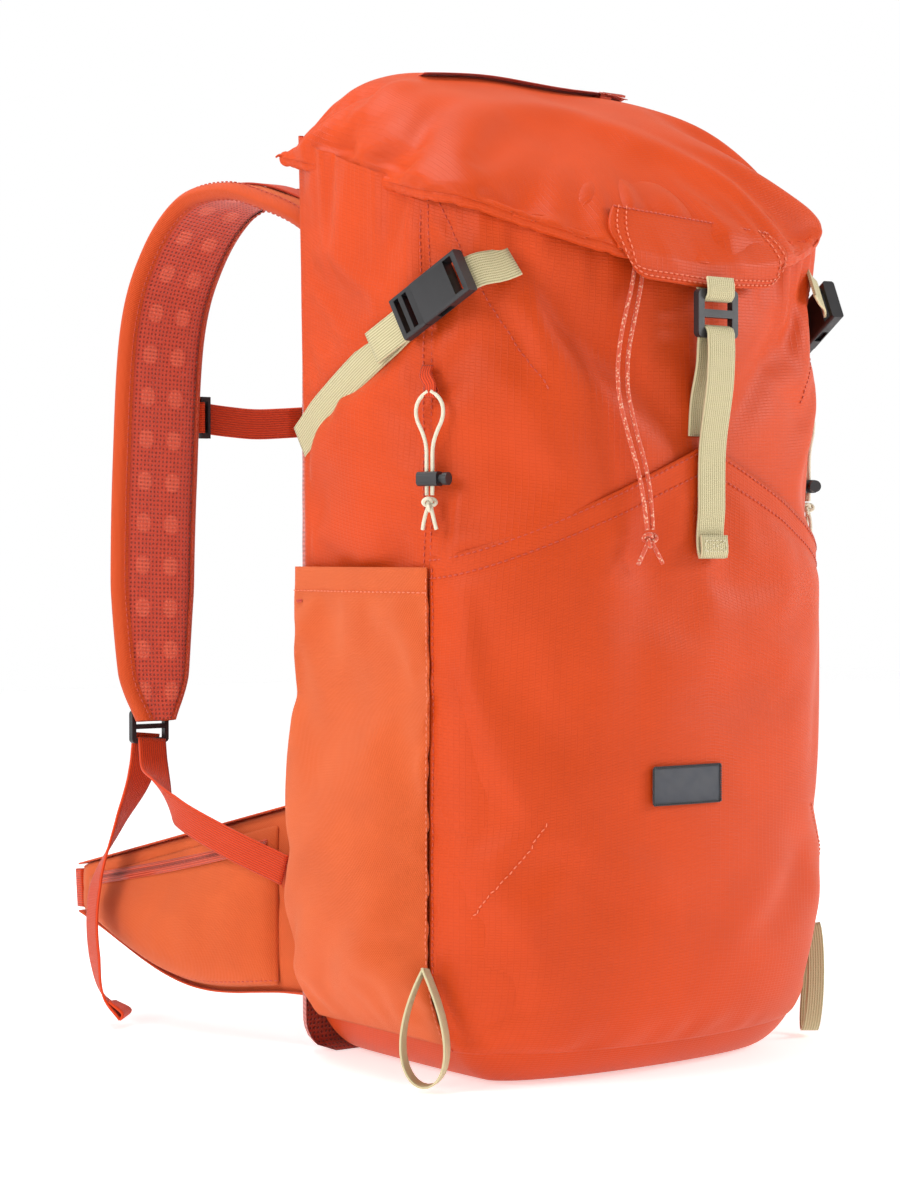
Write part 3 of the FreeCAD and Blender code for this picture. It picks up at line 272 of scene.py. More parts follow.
keeper_route = [
    (0.0009, TAB_Z - 0.0026), (0.0056, TAB_Z - 0.005), (0.009, TAB_Z - 0.011),
    (0.0086, TAB_Z - 0.018), (0.0046, TAB_Z - 0.025), (POLE_CORD_GAP / 2, TAB_Z - 0.033),
    (POLE_CORD_GAP / 2 + 0.0002, TAB_Z - 0.045),
    (POLE_CORD_GAP / 2, KNOT_Z + KNOT_RADIUS - 0.0006)]
SIDES = ((-1, "left"), (1, "right"))
for side, word in SIDES:
    root, along, out = keeper_axes(side)
    centre = root + Vector((0, 0, KNOT_Z - 0.0006))
    ends = [[centre + along * (way * 0.001) + Vector((0, 0, -0.002)),
             centre + along * (way * 0.003) + out * 0.001 + Vector((0, 0, -0.008)),
             centre + along * (way * 0.0045) + Vector((0, 0, -0.0145))] for way in (-1, 1)]
    knot = overhand_knot(f"pole_cord_knot_{word}", centre, KNOT_RADIUS + 0.0005, POLE_CORD,
                         ends, tan_elastic, "tan_cord", ["pole_knots"] if side < 0 else ())
    for way, strand in ((-1, "rear"), (1, "front")):
        route = [tuple(root + along * (way * s) + Vector((0, 0, z))) for s, z in keeper_route]
        cord = hang_cord(f"pole_cord_{word}_{strand}", route, POLE_CORD, tan_elastic,
                         "tan_cord", f"pole_cord_{word}")

# ---------------------------------------------------------------- the bag
# The bag is coated ripstop nylon, sewn from a front panel, two side panels
# and a base, and stuffed until it stands.  The panels meet in felled seams.
BASE_ROUND, BASE_RISE, RIM_FLARE = 0.046, 0.078, 0.005
RIM_FRONT, RIM_REAR = 0.480, 0.547
CORNER = 0.012
ripstop_orange, ripstop_shade = linear("C7420F"), linear("A43209")


def cloth_axes(tree):
    """The cut cloth's own coordinates, across and along it, in millimetres."""
    place = add(tree, "Attribute", {"attribute_name": "cloth_mm"})[1]
    axes = add(tree, "SeparateXYZ", {}, {0: place})
    return axes[0], axes[1]


def threads(tree, axis, spacing, width):
    """1 on evenly spaced threads and 0 between them, set across one axis."""
    near = add(tree, "Math", {"operation": "PINGPONG"}, {0: axis, 1: spacing / 2})[0]
    return add(tree, "MapRange", {"interpolation_type": "SMOOTHSTEP"},
               {"Value": near, "From Max": width, "To Min": 1.0, "To Max": 0.0})[0]


def ripstop_nylon(name, colour, shade):
    """Coated ripstop: a 3.6 mm grid of thicker threads stands up from a plain
    weave and catches the light, and the coating gives a soft satin gloss."""
    material, tree = new_material(name)
    across, along = cloth_axes(tree)
    upright, level = threads(tree, across, 3.6, 0.42), threads(tree, along, 1.8, 0.34)
    grid = add(tree, "Math", {"operation": "MAXIMUM"}, {0: upright, 1: level})[0]
    weave = add(tree, "TexNoise", {}, {"Vector": object_place(tree), "Scale": 1.6,
                                       "Detail": 2.0})[0]
    worn = add(tree, "TexNoise", {}, {"Vector": object_place(tree), "Scale": 0.02,
                                      "Detail": 3.0})[0]
    worn = add(tree, "MapRange", {}, {"Value": worn, "From Min": 0.3, "From Max": 0.7,
                                      "To Min": 0.0, "To Max": 0.28})[0]
    base = add(tree, "Mix", {"data_type": "RGBA"}, {0: worn, 6: colour, 7: shade})[2]
    line = add(tree, "Math", {"operation": "MULTIPLY"}, {0: grid, 1: 0.16})[0]
    tone = add(tree, "Mix", {"data_type": "RGBA"}, {0: line, 6: base, 7: shade})[2]
    rough = add(tree, "MapRange", {}, {"Value": weave, "To Min": 0.40, "To Max": 0.54})[0]
    height = add(tree, "Math", {"operation": "MULTIPLY_ADD"}, {0: weave, 1: 0.5, 2: grid})[0]
    finish_surface(tree, tone, rough, (height, 0.00010),
                   {"Sheen Weight": 0.10, "Sheen Roughness": 0.35,
                    "Sheen Tint": linear("FFB890"), "Specular IOR Level": 0.20})
    return material


def lay_flat(mesh, flat):
    """Writes each point's place on the flat cloth, in millimetres."""
    places = mesh.attributes.get("cloth_mm") or mesh.attributes.new(
        "cloth_mm", "FLOAT_VECTOR", "POINT")
    places.data.foreach_set("vector", flat.ravel().astype(np.float32))


def skin(name, rows, material, flip=False, thick=0.0, smooth=True):
    """A cloth from rows of points.  Each point keeps its place on the flat cloth."""
    count, width = len(rows), len(rows[0])
    points = np.array([[tuple(p) for p in row] for row in rows], float)
    steps = np.linalg.norm(np.diff(points, axis=1), axis=2)
    across = np.concatenate([np.zeros((count, 1)), np.cumsum(steps, axis=1)], axis=1)
    across -= across[:, width // 2:width // 2 + 1]
    climb = np.linalg.norm(np.diff(points[:, width // 2], axis=0), axis=1)
    along = np.concatenate([[0], np.cumsum(climb)])
    faces = []
    for i in range(count - 1):
        for j in range(width - 1):
            a, b = i * width + j, (i + 1) * width + j
            faces.append((a, b, b + 1, a + 1) if flip else (a, a + 1, b + 1, b))
    mesh = bpy.data.meshes.new(name)
    mesh.from_pydata(points.reshape(-1, 3).tolist(), [], faces)
    flat = np.zeros((count, width, 3))
    flat[..., 0], flat[..., 1] = across * 1000, along[:, None] * 1000
    lay_flat(mesh, flat)
    mesh.materials.append(material)
    mesh.polygons.foreach_set("use_smooth", [smooth] * len(faces))
    piece = bpy.data.objects.new(name, mesh)
    bpy.context.collection.objects.link(piece)
    piece["rows"], piece["columns"] = count, width
    if thick:
        wall = piece.modifiers.new("thickness", "SOLIDIFY")
        wall.thickness, wall.offset = thick, -1.0
    return piece


def grid_of(piece):
    """A skin's points as an array of rows."""
    flat = np.zeros(len(piece.data.vertices) * 3)
    piece.data.vertices.foreach_get("co", flat)
    return flat.reshape(piece["rows"], piece["columns"], 3)


def set_grid(piece, points):
    piece.data.vertices.foreach_set("co", np.asarray(points).ravel())
    piece.data.update()


def outward(points):
    """Unit normals of a grid of points."""
    a = np.gradient(points, axis=0)
    b = np.gradient(points, axis=1)
    normal = np.cross(b, a)
    return normal / np.maximum(np.linalg.norm(normal, axis=2, keepdims=True), 1e-9)


def creased(points, creases, sign=1.0):
    """Presses creases, or raises folds, into a grid of points.  A crease is
    (start, end, width, depth), and fades out towards both its ends."""
    normal = outward(points) * sign
    for start, end, width, depth in creases:
        a, b = np.array(start), np.array(end)
        share = ((points - a) @ (b - a)) / ((b - a) @ (b - a))
        inside = np.clip(share, 0, 1)
        far = np.linalg.norm(points - (a + inside[..., None] * (b - a)), axis=2)
        fade = np.sin(np.pi * (0.12 + 0.76 * inside))
        points = points - normal * (depth * fade * np.exp(-(far / width) ** 2))[..., None]
    return points


def settled(piece, held, growth, frames, cap, bending=4.0):
    """Lets a cloth that is a little too large for its seams find its folds.
    held is the pinned part as a mask of the grid, and cap the furthest move."""
    rest = grid_of(piece)
    group = piece.vertex_groups.new(name="seams")
    group.add([int(i) for i in np.flatnonzero(held.ravel())], 1.0, "REPLACE")
    cloth = piece.modifiers.new("cloth", "CLOTH")
    piece.modifiers.move(len(piece.modifiers) - 1, 0)
    facts = cloth.settings
    facts.quality, facts.mass, facts.air_damping = 6, 0.12, 2.0
    facts.tension_stiffness = facts.compression_stiffness = 22
    facts.shear_stiffness, facts.bending_stiffness = 12, bending
    facts.vertex_group_mass, facts.shrink_min = "seams", -growth
    facts.effector_weights.gravity = 0
    cloth.collision_settings.use_collision = False
    for frame_number in range(1, frames + 1):
        bpy.context.scene.frame_set(frame_number)
    others = [m for m in piece.modifiers if m != cloth]
    for modifier in others:
        modifier.show_viewport = False
    seen = piece.evaluated_get(bpy.context.evaluated_depsgraph_get())
    flat = np.zeros(len(piece.data.vertices) * 3)
    seen.data.vertices.foreach_get("co", flat)
    for modifier in others:
        modifier.show_viewport = True
    piece.modifiers.remove(cloth)
    bpy.context.scene.frame_set(1)
    move = np.nan_to_num(flat.reshape(rest.shape) - rest)
    size = np.linalg.norm(move, axis=2, keepdims=True)
    move *= cap * np.tanh(size / cap) / np.maximum(size, 1e-9)
    set_grid(piece, rest + move)


def softened(piece, held, rounds=2):
    """Evens out a cloth's smallest bumps, away from its seams."""
    points = grid_of(piece)
    for turn in range(rounds):
        mean = points.copy()
        mean[1:-1, 1:-1] = (points[:-2, 1:-1] + points[2:, 1:-1] + points[1:-1, :-2]
                            + points[1:-1, 2:]) / 4
        points = np.where(held[..., None], points, 0.5 * points + 0.5 * mean)
    set_grid(piece, points)


def smoother(piece, levels=1):
    surface = piece.modifiers.new("smooth", "SUBSURF")
    surface.levels = surface.render_levels = levels
    piece.modifiers.move(len(piece.modifiers) - 1, 0)


def drawn_in(z):
    """How far the bag's foot is drawn in at height z."""
    lift = min(1.0, max(0.0, 1 - z / BASE_RISE))
    return BASE_ROUND * (1 - math.sqrt(1 - lift**2))


def side_x(y, z):
    share = (y - SEAM_Y) / (BACK_Y - SEAM_Y)
    return HALF_WIDTH - drawn_in(z) + RIM_FLARE * max(0, z / RIM_REAR - 0.55) / 0.45 * share


def bag_plan(z):
    """The bag's outline at height z, from its left back corner round the front
    to its right back corner, as (x, y, station): the seams are at +1 and -1."""
    belly = 0.0075 * max(0.0, min(1.0, (z - 0.29) / 0.06)) + 0.0015
    half = []
    corner_x = side_x(BACK_Y, z) - CORNER
    for k in range(6):
        turn = math.pi / 2 * (1 - k / 5)
        half.append((corner_x + CORNER * math.cos(turn),
                     BACK_Y - CORNER + (CORNER + 0.006) * math.sin(turn), 2.0))
    for k in range(1, 27):
        y = BACK_Y - CORNER + (SEAM_Y - BACK_Y + CORNER) * k / 26
        share = (BACK_Y - CORNER - y) / (BACK_Y - CORNER - SEAM_Y)
        half.append((side_x(y, z) + belly * math.sin(math.pi * share) ** 0.8, y, 2 - share))
    a, b = HALF_WIDTH - drawn_in(z), FRONT_BULGE - drawn_in(z)
    for k in range(1, 41):
        turn = math.pi / 2 * (1 - k / 40)
        puff = 1 + 0.03 * math.sin(2 * turn) ** 2
        half.append((a * math.sin(turn) * puff, SEAM_Y - b * math.cos(turn) * puff,
                     turn / (math.pi / 2)))
    left = [(-x, y, -s) for x, y, s in half]
    return left + [(x, y, s) for x, y, s in reversed(half[:-1])]


def rim_height(y):
    """The bag's rim falls towards the front."""
    share = (y - (SEAM_Y - FRONT_BULGE)) / (BACK_Y - SEAM_Y + FRONT_BULGE)
    return RIM_FRONT + (RIM_REAR - RIM_FRONT) * share


def bag_rows():
    rows = []
    for share in (0.05, 0.4, 0.75, 0.95):
        rows.append([(x * share, (y - 0.02) * share + 0.02, 0.0008)
                     for x, y, s in bag_plan(0.0)])
    for k in range(1, 14):
        z = BASE_RISE * (1 - math.cos(math.pi / 2 * k / 13))
        rows.append([(x, y, max(z, 0.0008)) for x, y, s in bag_plan(z)])
    for k in range(1, 96):
        share = k / 95
        level = BASE_RISE + (0.52 - BASE_RISE) * share
        row = []
        for x, y, s in bag_plan(level):
            z = BASE_RISE + (rim_height(y) - BASE_RISE) * share
            row.append((x, y, z))
        rows.append(row)
    return rows


rows = bag_rows()
stations = np.array([s for x, y, s in bag_plan(0.2)])
nylon = ripstop_nylon("orange_ripstop_nylon", ripstop_orange, ripstop_shade)
bag = skin("bag_shell", rows, nylon)
points = grid_of(bag)

# Under the lid's elastic the cloth is gathered into short upright pleats.
random.seed(11)
edge = np.linspace(0, 62, points.shape[1])
ripple = np.array([noise.noise(Vector((t, 3.1, 0))) for t in edge])
drop = np.clip((points[..., 2] - (np.array([rim_height(y) for y in points[-1, :, 1]]) - 0.105))
               / 0.105, 0, 1)
points = points + outward(points) * (ripple[None, :] * 0.0100 * drop**1.4)[..., None]
bag_creases = []
for side in (-1, 1):
    bag_creases += [
        ((side * 0.127, -0.057, 0.446), (side * 0.095, -0.077, 0.389), 0.004, 0.0022),
        ((side * 0.139, -0.040, 0.490), (side * 0.127, -0.057, 0.446), 0.004, 0.0022),
        ((side * 0.140, -0.031, 0.470), (side * 0.140, -0.031, 0.300), 0.003, 0.0012),
        ((side * 0.150, 0.095, 0.370), (side * 0.140, -0.020, 0.432), 0.014, 0.0055),
        ((side * 0.146, 0.060, 0.480), (side * 0.148, 0.000, 0.440), 0.008, -0.0028),
        ((side * 0.146, 0.080, 0.455), (side * 0.150, 0.030, 0.418), 0.007, -0.0024),
        ((side * 0.146, 0.080, 0.350), (side * 0.146, 0.000, 0.395), 0.010, -0.0026),
        ((side * 0.110, -0.075, 0.470), (side * 0.070, -0.088, 0.400), 0.010, 0.0028),
        ((side * 0.085, -0.080, 0.440), (side * 0.020, -0.095, 0.372), 0.013, 0.0030),
        ((side * 0.120, -0.062, 0.400), (side * 0.080, -0.082, 0.340), 0.012, -0.0022),
    ]
points = creased(points, bag_creases)
set_grid(bag, points)
held = np.zeros(points.shape[:2], bool)
held |= points[..., 2] < 0.288
held[-1] = True
held[:, :6] = held[:, -6:] = True
held[:, np.abs(np.abs(stations) - 1) < 0.02] = True
settled(bag, held, 0.050, 24, 0.0065, bending=2.5)
softened(bag, held)
smoother(bag)
sewn_on(bag, "root", "ripstop", "front_panel", "side_panel_left", "side_panel_right", "base_panel")

# --------------------------------------------------------------- stitching
# Every seam is lockstitched in bonded polyester, a little redder than the
# cloth, at about three stitches to the centimetre.
STITCH, STITCH_GAP, THREAD = 0.0026, 0.0011, 0.00042


def polyester_thread(name, colour):
    """Bonded thread: a dull waxy gloss on twisted filament."""
    material, tree = new_material(name)
    twist = add(tree, "TexNoise", {}, {"Vector": object_place(tree), "Scale": 2.5})[0]
    rough = add(tree, "MapRange", {}, {"Value": twist, "To Min": 0.45, "To Max": 0.7})[0]
    tone = add(tree, "Mix", {"data_type": "RGBA"},
               {0: twist, 6: colour, 7: tuple(c * 0.7 for c in colour[:3]) + (1,)})[2]
    finish_surface(tree, tone, rough, None, {"Sheen Weight": 0.2})
    return material


def resampled(line, step):
    """Points a step apart along a line of points."""
    line = np.array([tuple(p) for p in line], float)
    runs = np.linalg.norm(np.diff(line, axis=0), axis=1)
    way = np.concatenate([[0], np.cumsum(runs)])
    count = max(2, int(way[-1] / step) + 1)
    marks = np.linspace(0, way[-1], count)
    return np.stack([np.interp(marks, way, line[:, k]) for k in range(3)], axis=1)


def mesh_piece(name, verts, faces, material, body, slot, smooth=True):
    mesh = bpy.data.meshes.new(name)
    mesh.from_pydata([tuple(v) for v in verts], [], faces)
    mesh.materials.append(material)
    mesh.polygons.foreach_set("use_smooth", [smooth] * len(faces))
    piece = bpy.data.objects.new(name, mesh)
    bpy.context.collection.objects.link(piece)
    sewn_on(piece, body, slot)
    return piece


def stitches(name, lines, material, body, slot, long=STITCH, gap=STITCH_GAP, thick=THREAD):
    """Rows of stitches along lines that already lie on the cloth."""
    verts, faces = [], []
    for line in lines:
        marks = resampled(line, long + gap)
        for a, b in zip(marks[:-1], marks[1:]):
            way = b - a
            size = np.linalg.norm(way)
            if size < 1e-6:
                continue
            way = way / size
            side = np.cross(way, (0.31, 0.22, 0.93))
            side /= max(np.linalg.norm(side), 1e-9)
            rise = np.cross(way, side)
            start = len(verts)
            verts.append(a)
            for reach in (0.12, 0.5, 0.88):
                wide = thick * (1.0 if reach == 0.5 else 0.72)
                for k in range(5):
                    turn = 2 * math.pi * k / 5
                    verts.append(a + way * long * reach
                                 + (side * math.cos(turn) + rise * math.sin(turn)) * wide)
            verts.append(a + way * long)
            for k in range(5):
                n = (k + 1) % 5
                faces.append((start, start + 1 + n, start + 1 + k))
                for ring in (0, 5):
                    p, q = start + 1 + ring + k, start + 1 + ring + n
                    faces.append((p, q, q + 5, p + 5))
                faces.append((start + 16, start + 11 + k, start + 11 + n))
    return mesh_piece(name, verts, faces, material, body, slot)


def on_grid(points, u, v, lift):
    """A point on a grid at shares u across and v along, lifted off it."""
    i = v * (points.shape[0] - 1)
    j = u * (points.shape[1] - 1)
    i0, j0 = min(int(i), points.shape[0] - 2), min(int(j), points.shape[1] - 2)
    fi, fj = i - i0, j - j0
    corner = points[i0:i0 + 2, j0:j0 + 2]
    place = ((corner[0, 0] * (1 - fj) + corner[0, 1] * fj) * (1 - fi)
             + (corner[1, 0] * (1 - fj) + corner[1, 1] * fj) * fi)
    normal = np.cross(corner[0, 1] - corner[0, 0], corner[1, 0] - corner[0, 0])
    normal = normal / max(np.linalg.norm(normal), 1e-9)
    return place + normal * lift


def nearest_on(points, places, lift):
    """The grid's own points nearest to some places, lifted off the cloth."""
    flat = points.reshape(-1, 3)
    normals = outward(points).reshape(-1, 3)
    found = []
    for place in places:
        gap = np.linalg.norm(flat - np.array(place), axis=1)
        near = np.argsort(gap)[:4]
        weight = 1 / (gap[near] + 1e-4)
        weight /= weight.sum()
        found.append((flat[near] * weight[:, None]).sum(0) + normals[near[0]] * lift)
    return found


def straight(a, b, count=24):
    return [Vector(a).lerp(Vector(b), k / (count - 1)) for k in range(count)]


red_thread = polyester_thread("red_polyester_thread", linear("C93F1E"))
bag_points = grid_of(bag)
seams = []
for side in (-1, 1):
    for offset in (0.0, 0.0035):
        seams.append([bag_points[i, np.argmin(np.abs(stations - side * (1 + offset * 10)))]
                      + outward(bag_points)[i, np.argmin(np.abs(stations - side))] * 0.0003
                      for i in range(18, len(bag_points), 3)])
    dart = (straight((side * 0.139, -0.036, 0.497), (side * 0.127, -0.057, 0.446), 14)
            + straight((side * 0.127, -0.057, 0.446), (side * 0.095, -0.077, 0.389), 14)[1:])
    seams.append(nearest_on(bag_points, dart, 0.0003))
stitches("bag_seam_stitches", seams, red_thread, "root", "ripstop")


# ----------------------------------------------------------------- collar
# The collar closes the bag under the lid: a thin ripstop sleeve that the
# drawcord gathers to a small round mouth, so it falls into deep pleats.
COLLAR_PLEATS = 26
slope = math.atan2(RIM_REAR - RIM_FRONT, BACK_Y - SEAM_Y + FRONT_BULGE)
middle_y, middle_z = (SEAM_Y - FRONT_BULGE + BACK_Y) / 2, (RIM_FRONT + RIM_REAR) / 2
half_y = (BACK_Y - SEAM_Y + FRONT_BULGE) / 2 / math.cos(slope) - 0.002
rows = []
for k in range(22):
    share = k / 21
    pull = share**1.6
    lift = 0.021 * math.sin(share * math.pi / 2) - 0.004 * max(0, share - 0.85)
    row = []
    for j in range(241):
        turn = 2 * math.pi * j / 240
        pleat = math.sin(COLLAR_PLEATS * turn + 1.7 * noise.noise(Vector((turn * 3, 0, 5))))
        swing = pleat * 0.0028 * math.sin(math.pi * min(1, share + 0.12)) ** 0.7
        a = HALF_WIDTH - 0.002 + (0.061 - HALF_WIDTH) * pull + swing
        b = half_y + (0.045 - half_y) * pull + swing
        x, y = a * math.cos(turn), b * math.sin(turn)
        row.append((x, middle_y + y * math.cos(slope) - lift * math.sin(slope),
                    middle_z + y * math.sin(slope) + (lift + swing * 0.6) * math.cos(slope)))
    rows.append(row)
collar = skin("collar_sleeve", rows, nylon, thick=0.0008)
sewn_on(collar, "root", "ripstop", "collar")

# ----------------------------------------------------------- front pocket
# A stash pocket of the same ripstop stands off the front, open along a
# peaked, double stitched edge.  Two darts shape its lower corners.
STASH_LOW, STASH_PEAK, STASH_CORNER = 0.020, 0.362, 0.298
STASH_STAND, CLOTH = 0.0105, 0.0011


def stash_edge(x):
    return STASH_PEAK - (STASH_PEAK - STASH_CORNER) * abs(x) / HALF_WIDTH


def stash_point(turn, share):
    """The pocket's face: turn runs seam to seam, share from hem to edge."""
    z = STASH_LOW
    for guess in range(3):
        a = HALF_WIDTH - drawn_in(z)
        z = STASH_LOW + (stash_edge(a * math.sin(turn)) - STASH_LOW) * share
    a = HALF_WIDTH - drawn_in(z) + 0.001
    rise = min(1.0, (z - STASH_LOW) / 0.09)
    stand = 0.002 + (STASH_STAND - 0.002) * math.sin(rise * math.pi / 2)
    b = FRONT_BULGE - drawn_in(z) + stand
    puff = 1 + 0.012 * math.sin(2 * abs(turn)) ** 2 * math.sin(math.pi * share)
    return (a * math.sin(turn) * puff, SEAM_Y - b * math.cos(turn) * puff, z)


rows = []
for k in range(86):
    share = (k / 85) ** 1.15
    rows.append([stash_point(math.pi / 2 * (-1 + 2 * j / 90), share) for j in range(91)])
pocket = skin("stash_pocket", rows, nylon, thick=CLOTH)
points = grid_of(pocket)
pocket_creases = []
for side in (-1, 1):
    pocket_creases += [
        ((side * 0.139, -0.040, 0.076), (side * 0.099, -0.083, 0.152), 0.0035, 0.0030),
        ((side * 0.128, -0.060, 0.070), (side * 0.090, -0.090, 0.125), 0.010, -0.0030),
        ((side * 0.136, -0.052, 0.280), (side * 0.128, -0.062, 0.180), 0.007, -0.0022),
        ((side * 0.110, -0.085, 0.250), (side * 0.104, -0.090, 0.110), 0.008, 0.0018),
        ((side * 0.060, -0.100, 0.335), (side * 0.075, -0.098, 0.200), 0.014, -0.0020),
    ]
pocket_creases += [
    ((-0.030, -0.104, 0.345), (-0.055, -0.102, 0.210), 0.014, 0.0028),
    ((0.010, -0.105, 0.350), (0.028, -0.104, 0.230), 0.012, 0.0022),
    ((-0.085, -0.095, 0.140), (-0.030, -0.104, 0.110), 0.012, -0.0026),
    ((0.060, -0.100, 0.120), (0.015, -0.103, 0.080), 0.012, -0.0022),
]
points = creased(points, pocket_creases)
set_grid(pocket, points)
held = np.zeros(points.shape[:2], bool)
held[0], held[-5:] = True, True
held[:, 0] = held[:, -1] = True
settled(pocket, held, 0.022, 22, 0.0032)
softened(pocket, held, 3)
smoother(pocket)
sewn_on(pocket, "root", "ripstop", "front_pocket")

pocket_points = grid_of(pocket)
edge_lines = []
for below in (0.9935, 0.962):
    edge_lines.append([on_grid(pocket_points, j / 90, below, 0.0003) for j in range(91)])
for side in (0, 1):
    edge_lines.append([on_grid(pocket_points, abs(side - 0.012), k / 60, 0.0003)
                       for k in range(60)])
darts = []
for side in (-1, 1):
    darts.append(nearest_on(pocket_points, straight((side * 0.139, -0.041, 0.076),
                                                    (side * 0.099, -0.083, 0.152), 30),
                            0.0004))
stitches("stash_pocket_stitches", edge_lines, red_thread, "root", "ripstop")
pale_thread = polyester_thread("orange_polyester_thread", linear("F0774C"))
stitches("stash_pocket_darts", darts, pale_thread, "root", "ripstop")

# The woven badge: a plain charcoal patch with a merrowed edge and no mark.
BADGE_WIDE, BADGE_TALL = 0.049, 0.021


def damask_patch(name, ground, painted_sheen_colour):
    """Satin woven label: fine ribs a third of a millimetre apart, drawn at
    0.6 mm. The ribs carry a painted sheen: they are painted paler, in slow patches across the
                                            satin."""
    material, tree = new_material(name)
    across, along = cloth_axes(tree)
    rib = threads(tree, along, 0.6, 0.28)
    shift = add(tree, "TexNoise", {}, {"Vector": object_place(tree), "Scale": 0.12})[0]
    # Painted sheen: the ribs are mixed towards the paler colour where the slow noise is high.
    mix = add(tree, "Math", {"operation": "MULTIPLY"}, {0: rib, 1: shift})[0]
    tone = add(tree, "Mix", {"data_type": "RGBA"}, {0: mix, 6: ground, 7: painted_sheen_colour})[2]
    finish_surface(tree, tone, shift, (rib, 0.00015), {"Sheen Weight": 0.2})
    return material


badge_ground = damask_patch("charcoal_damask_patch", linear("24262C"), linear("4A4F5C"))
centre_x, centre_z = -0.018, 0.170
rows = []
for k in range(9):
    z = centre_z + BADGE_TALL * (k / 8 - 0.5)
    row = []
    for j in range(21):
        x = centre_x + BADGE_WIDE * (j / 20 - 0.5)
        row.append(nearest_on(pocket_points, [(x, -0.105, z)], 0.0)[0])
    base = np.array(row)
    row = [(centre_x + BADGE_WIDE * (j / 20 - 0.5), base[:, 1].mean() * 0.4
            + base[j, 1] * 0.6 - 0.0016, z) for j in range(21)]
    rows.append(row)
badge = skin("woven_badge", rows, badge_ground, thick=0.0009)
smoother(badge)
sewn_on(badge, "root", "ripstop")
badge_points = grid_of(badge)
border = ([badge_points[0, j] for j in range(21)] + [badge_points[k, 20] for k in range(9)]
          + [badge_points[8, j] for j in range(20, -1, -1)]
          + [badge_points[k, 0] for k in range(8, -1, -1)])
dark_thread = polyester_thread("charcoal_polyester_thread", linear("1D1E22"))
stitches("woven_badge_edge", [np.array(border) + (0, -0.0003, 0)], dark_thread, "root",
         "ripstop", long=0.0011, gap=0.0002, thick=0.0008)

# ----------------------------------------------------------- side pockets
# Deep stretch pockets of matte twill: each is gathered to the side panel's
# foot and closed at the mouth by a wide turned hem.
TWILL_ORANGE = linear("CC5520")
POCKET_LOW, POCKET_TOP, POCKET_BULGE, MOUTH_GAP = 0.024, 0.292, 0.0215, 0.007


def stretch_twill(name, colour, shade):
    """Matte nylon-elastane twill: steep diagonal wales about 0.7 mm apart,
    drawn at 1.2 mm, and hardly any gloss."""
    material, tree = new_material(name)
    across, along = cloth_axes(tree)
    lean = add(tree, "Math", {"operation": "MULTIPLY_ADD"}, {0: along, 1: 0.55, 2: across})[0]
    wale = threads(tree, lean, 1.2, 0.5)
    bead = threads(tree, along, 0.9, 0.4)
    weave = add(tree, "Math", {"operation": "MULTIPLY_ADD"}, {0: bead, 1: 0.35, 2: wale})[0]
    worn = add(tree, "TexNoise", {}, {"Vector": object_place(tree), "Scale": 0.03,
                                      "Detail": 4.0})[0]
    mix = add(tree, "Math", {"operation": "MULTIPLY_ADD"}, {0: wale, 1: -0.20, 2: worn})[0]
    mix = add(tree, "MapRange", {}, {"Value": mix, "From Min": 0.1, "From Max": 0.8,
                                     "To Min": 0.0, "To Max": 0.55})[0]
    tone = add(tree, "Mix", {"data_type": "RGBA"}, {0: mix, 6: colour, 7: shade})[2]
    rough = add(tree, "MapRange", {}, {"Value": weave, "To Min": 0.86, "To Max": 0.72})[0]
    finish_surface(tree, tone, rough, (weave, 0.00016),
                   {"Sheen Weight": 0.30, "Sheen Roughness": 0.6,
                    "Sheen Tint": linear("FFB893"), "Specular IOR Level": 0.25})
    return material


twill = stretch_twill("orange_stretch_twill", TWILL_ORANGE, linear("B0431A"))


def side_pocket_point(side, share, up):
    """share runs from the back corner to the side seam, up from hem to mouth."""
    z = POCKET_LOW + (POCKET_TOP - POCKET_LOW) * up
    y = BACK_Y + 0.004 + (SEAM_Y - BACK_Y - 0.005) * share
    belly = math.sin(math.pi * min(1.0, up * 1.4) ** 0.8)
    depth = MOUTH_GAP * min(1.0, up * 4) + (POCKET_BULGE - MOUTH_GAP) * belly
    full = 0.36 if share < 0.5 else 0.62
    out = 0.0012 + depth * math.sin(math.pi * min(1, max(0, share))) ** full
    wrap = 0.006 * max(0.0, 1 - share / 0.06)
    return (side * (side_x(min(y, BACK_Y), z) + out + 0.002 - wrap), y, z)


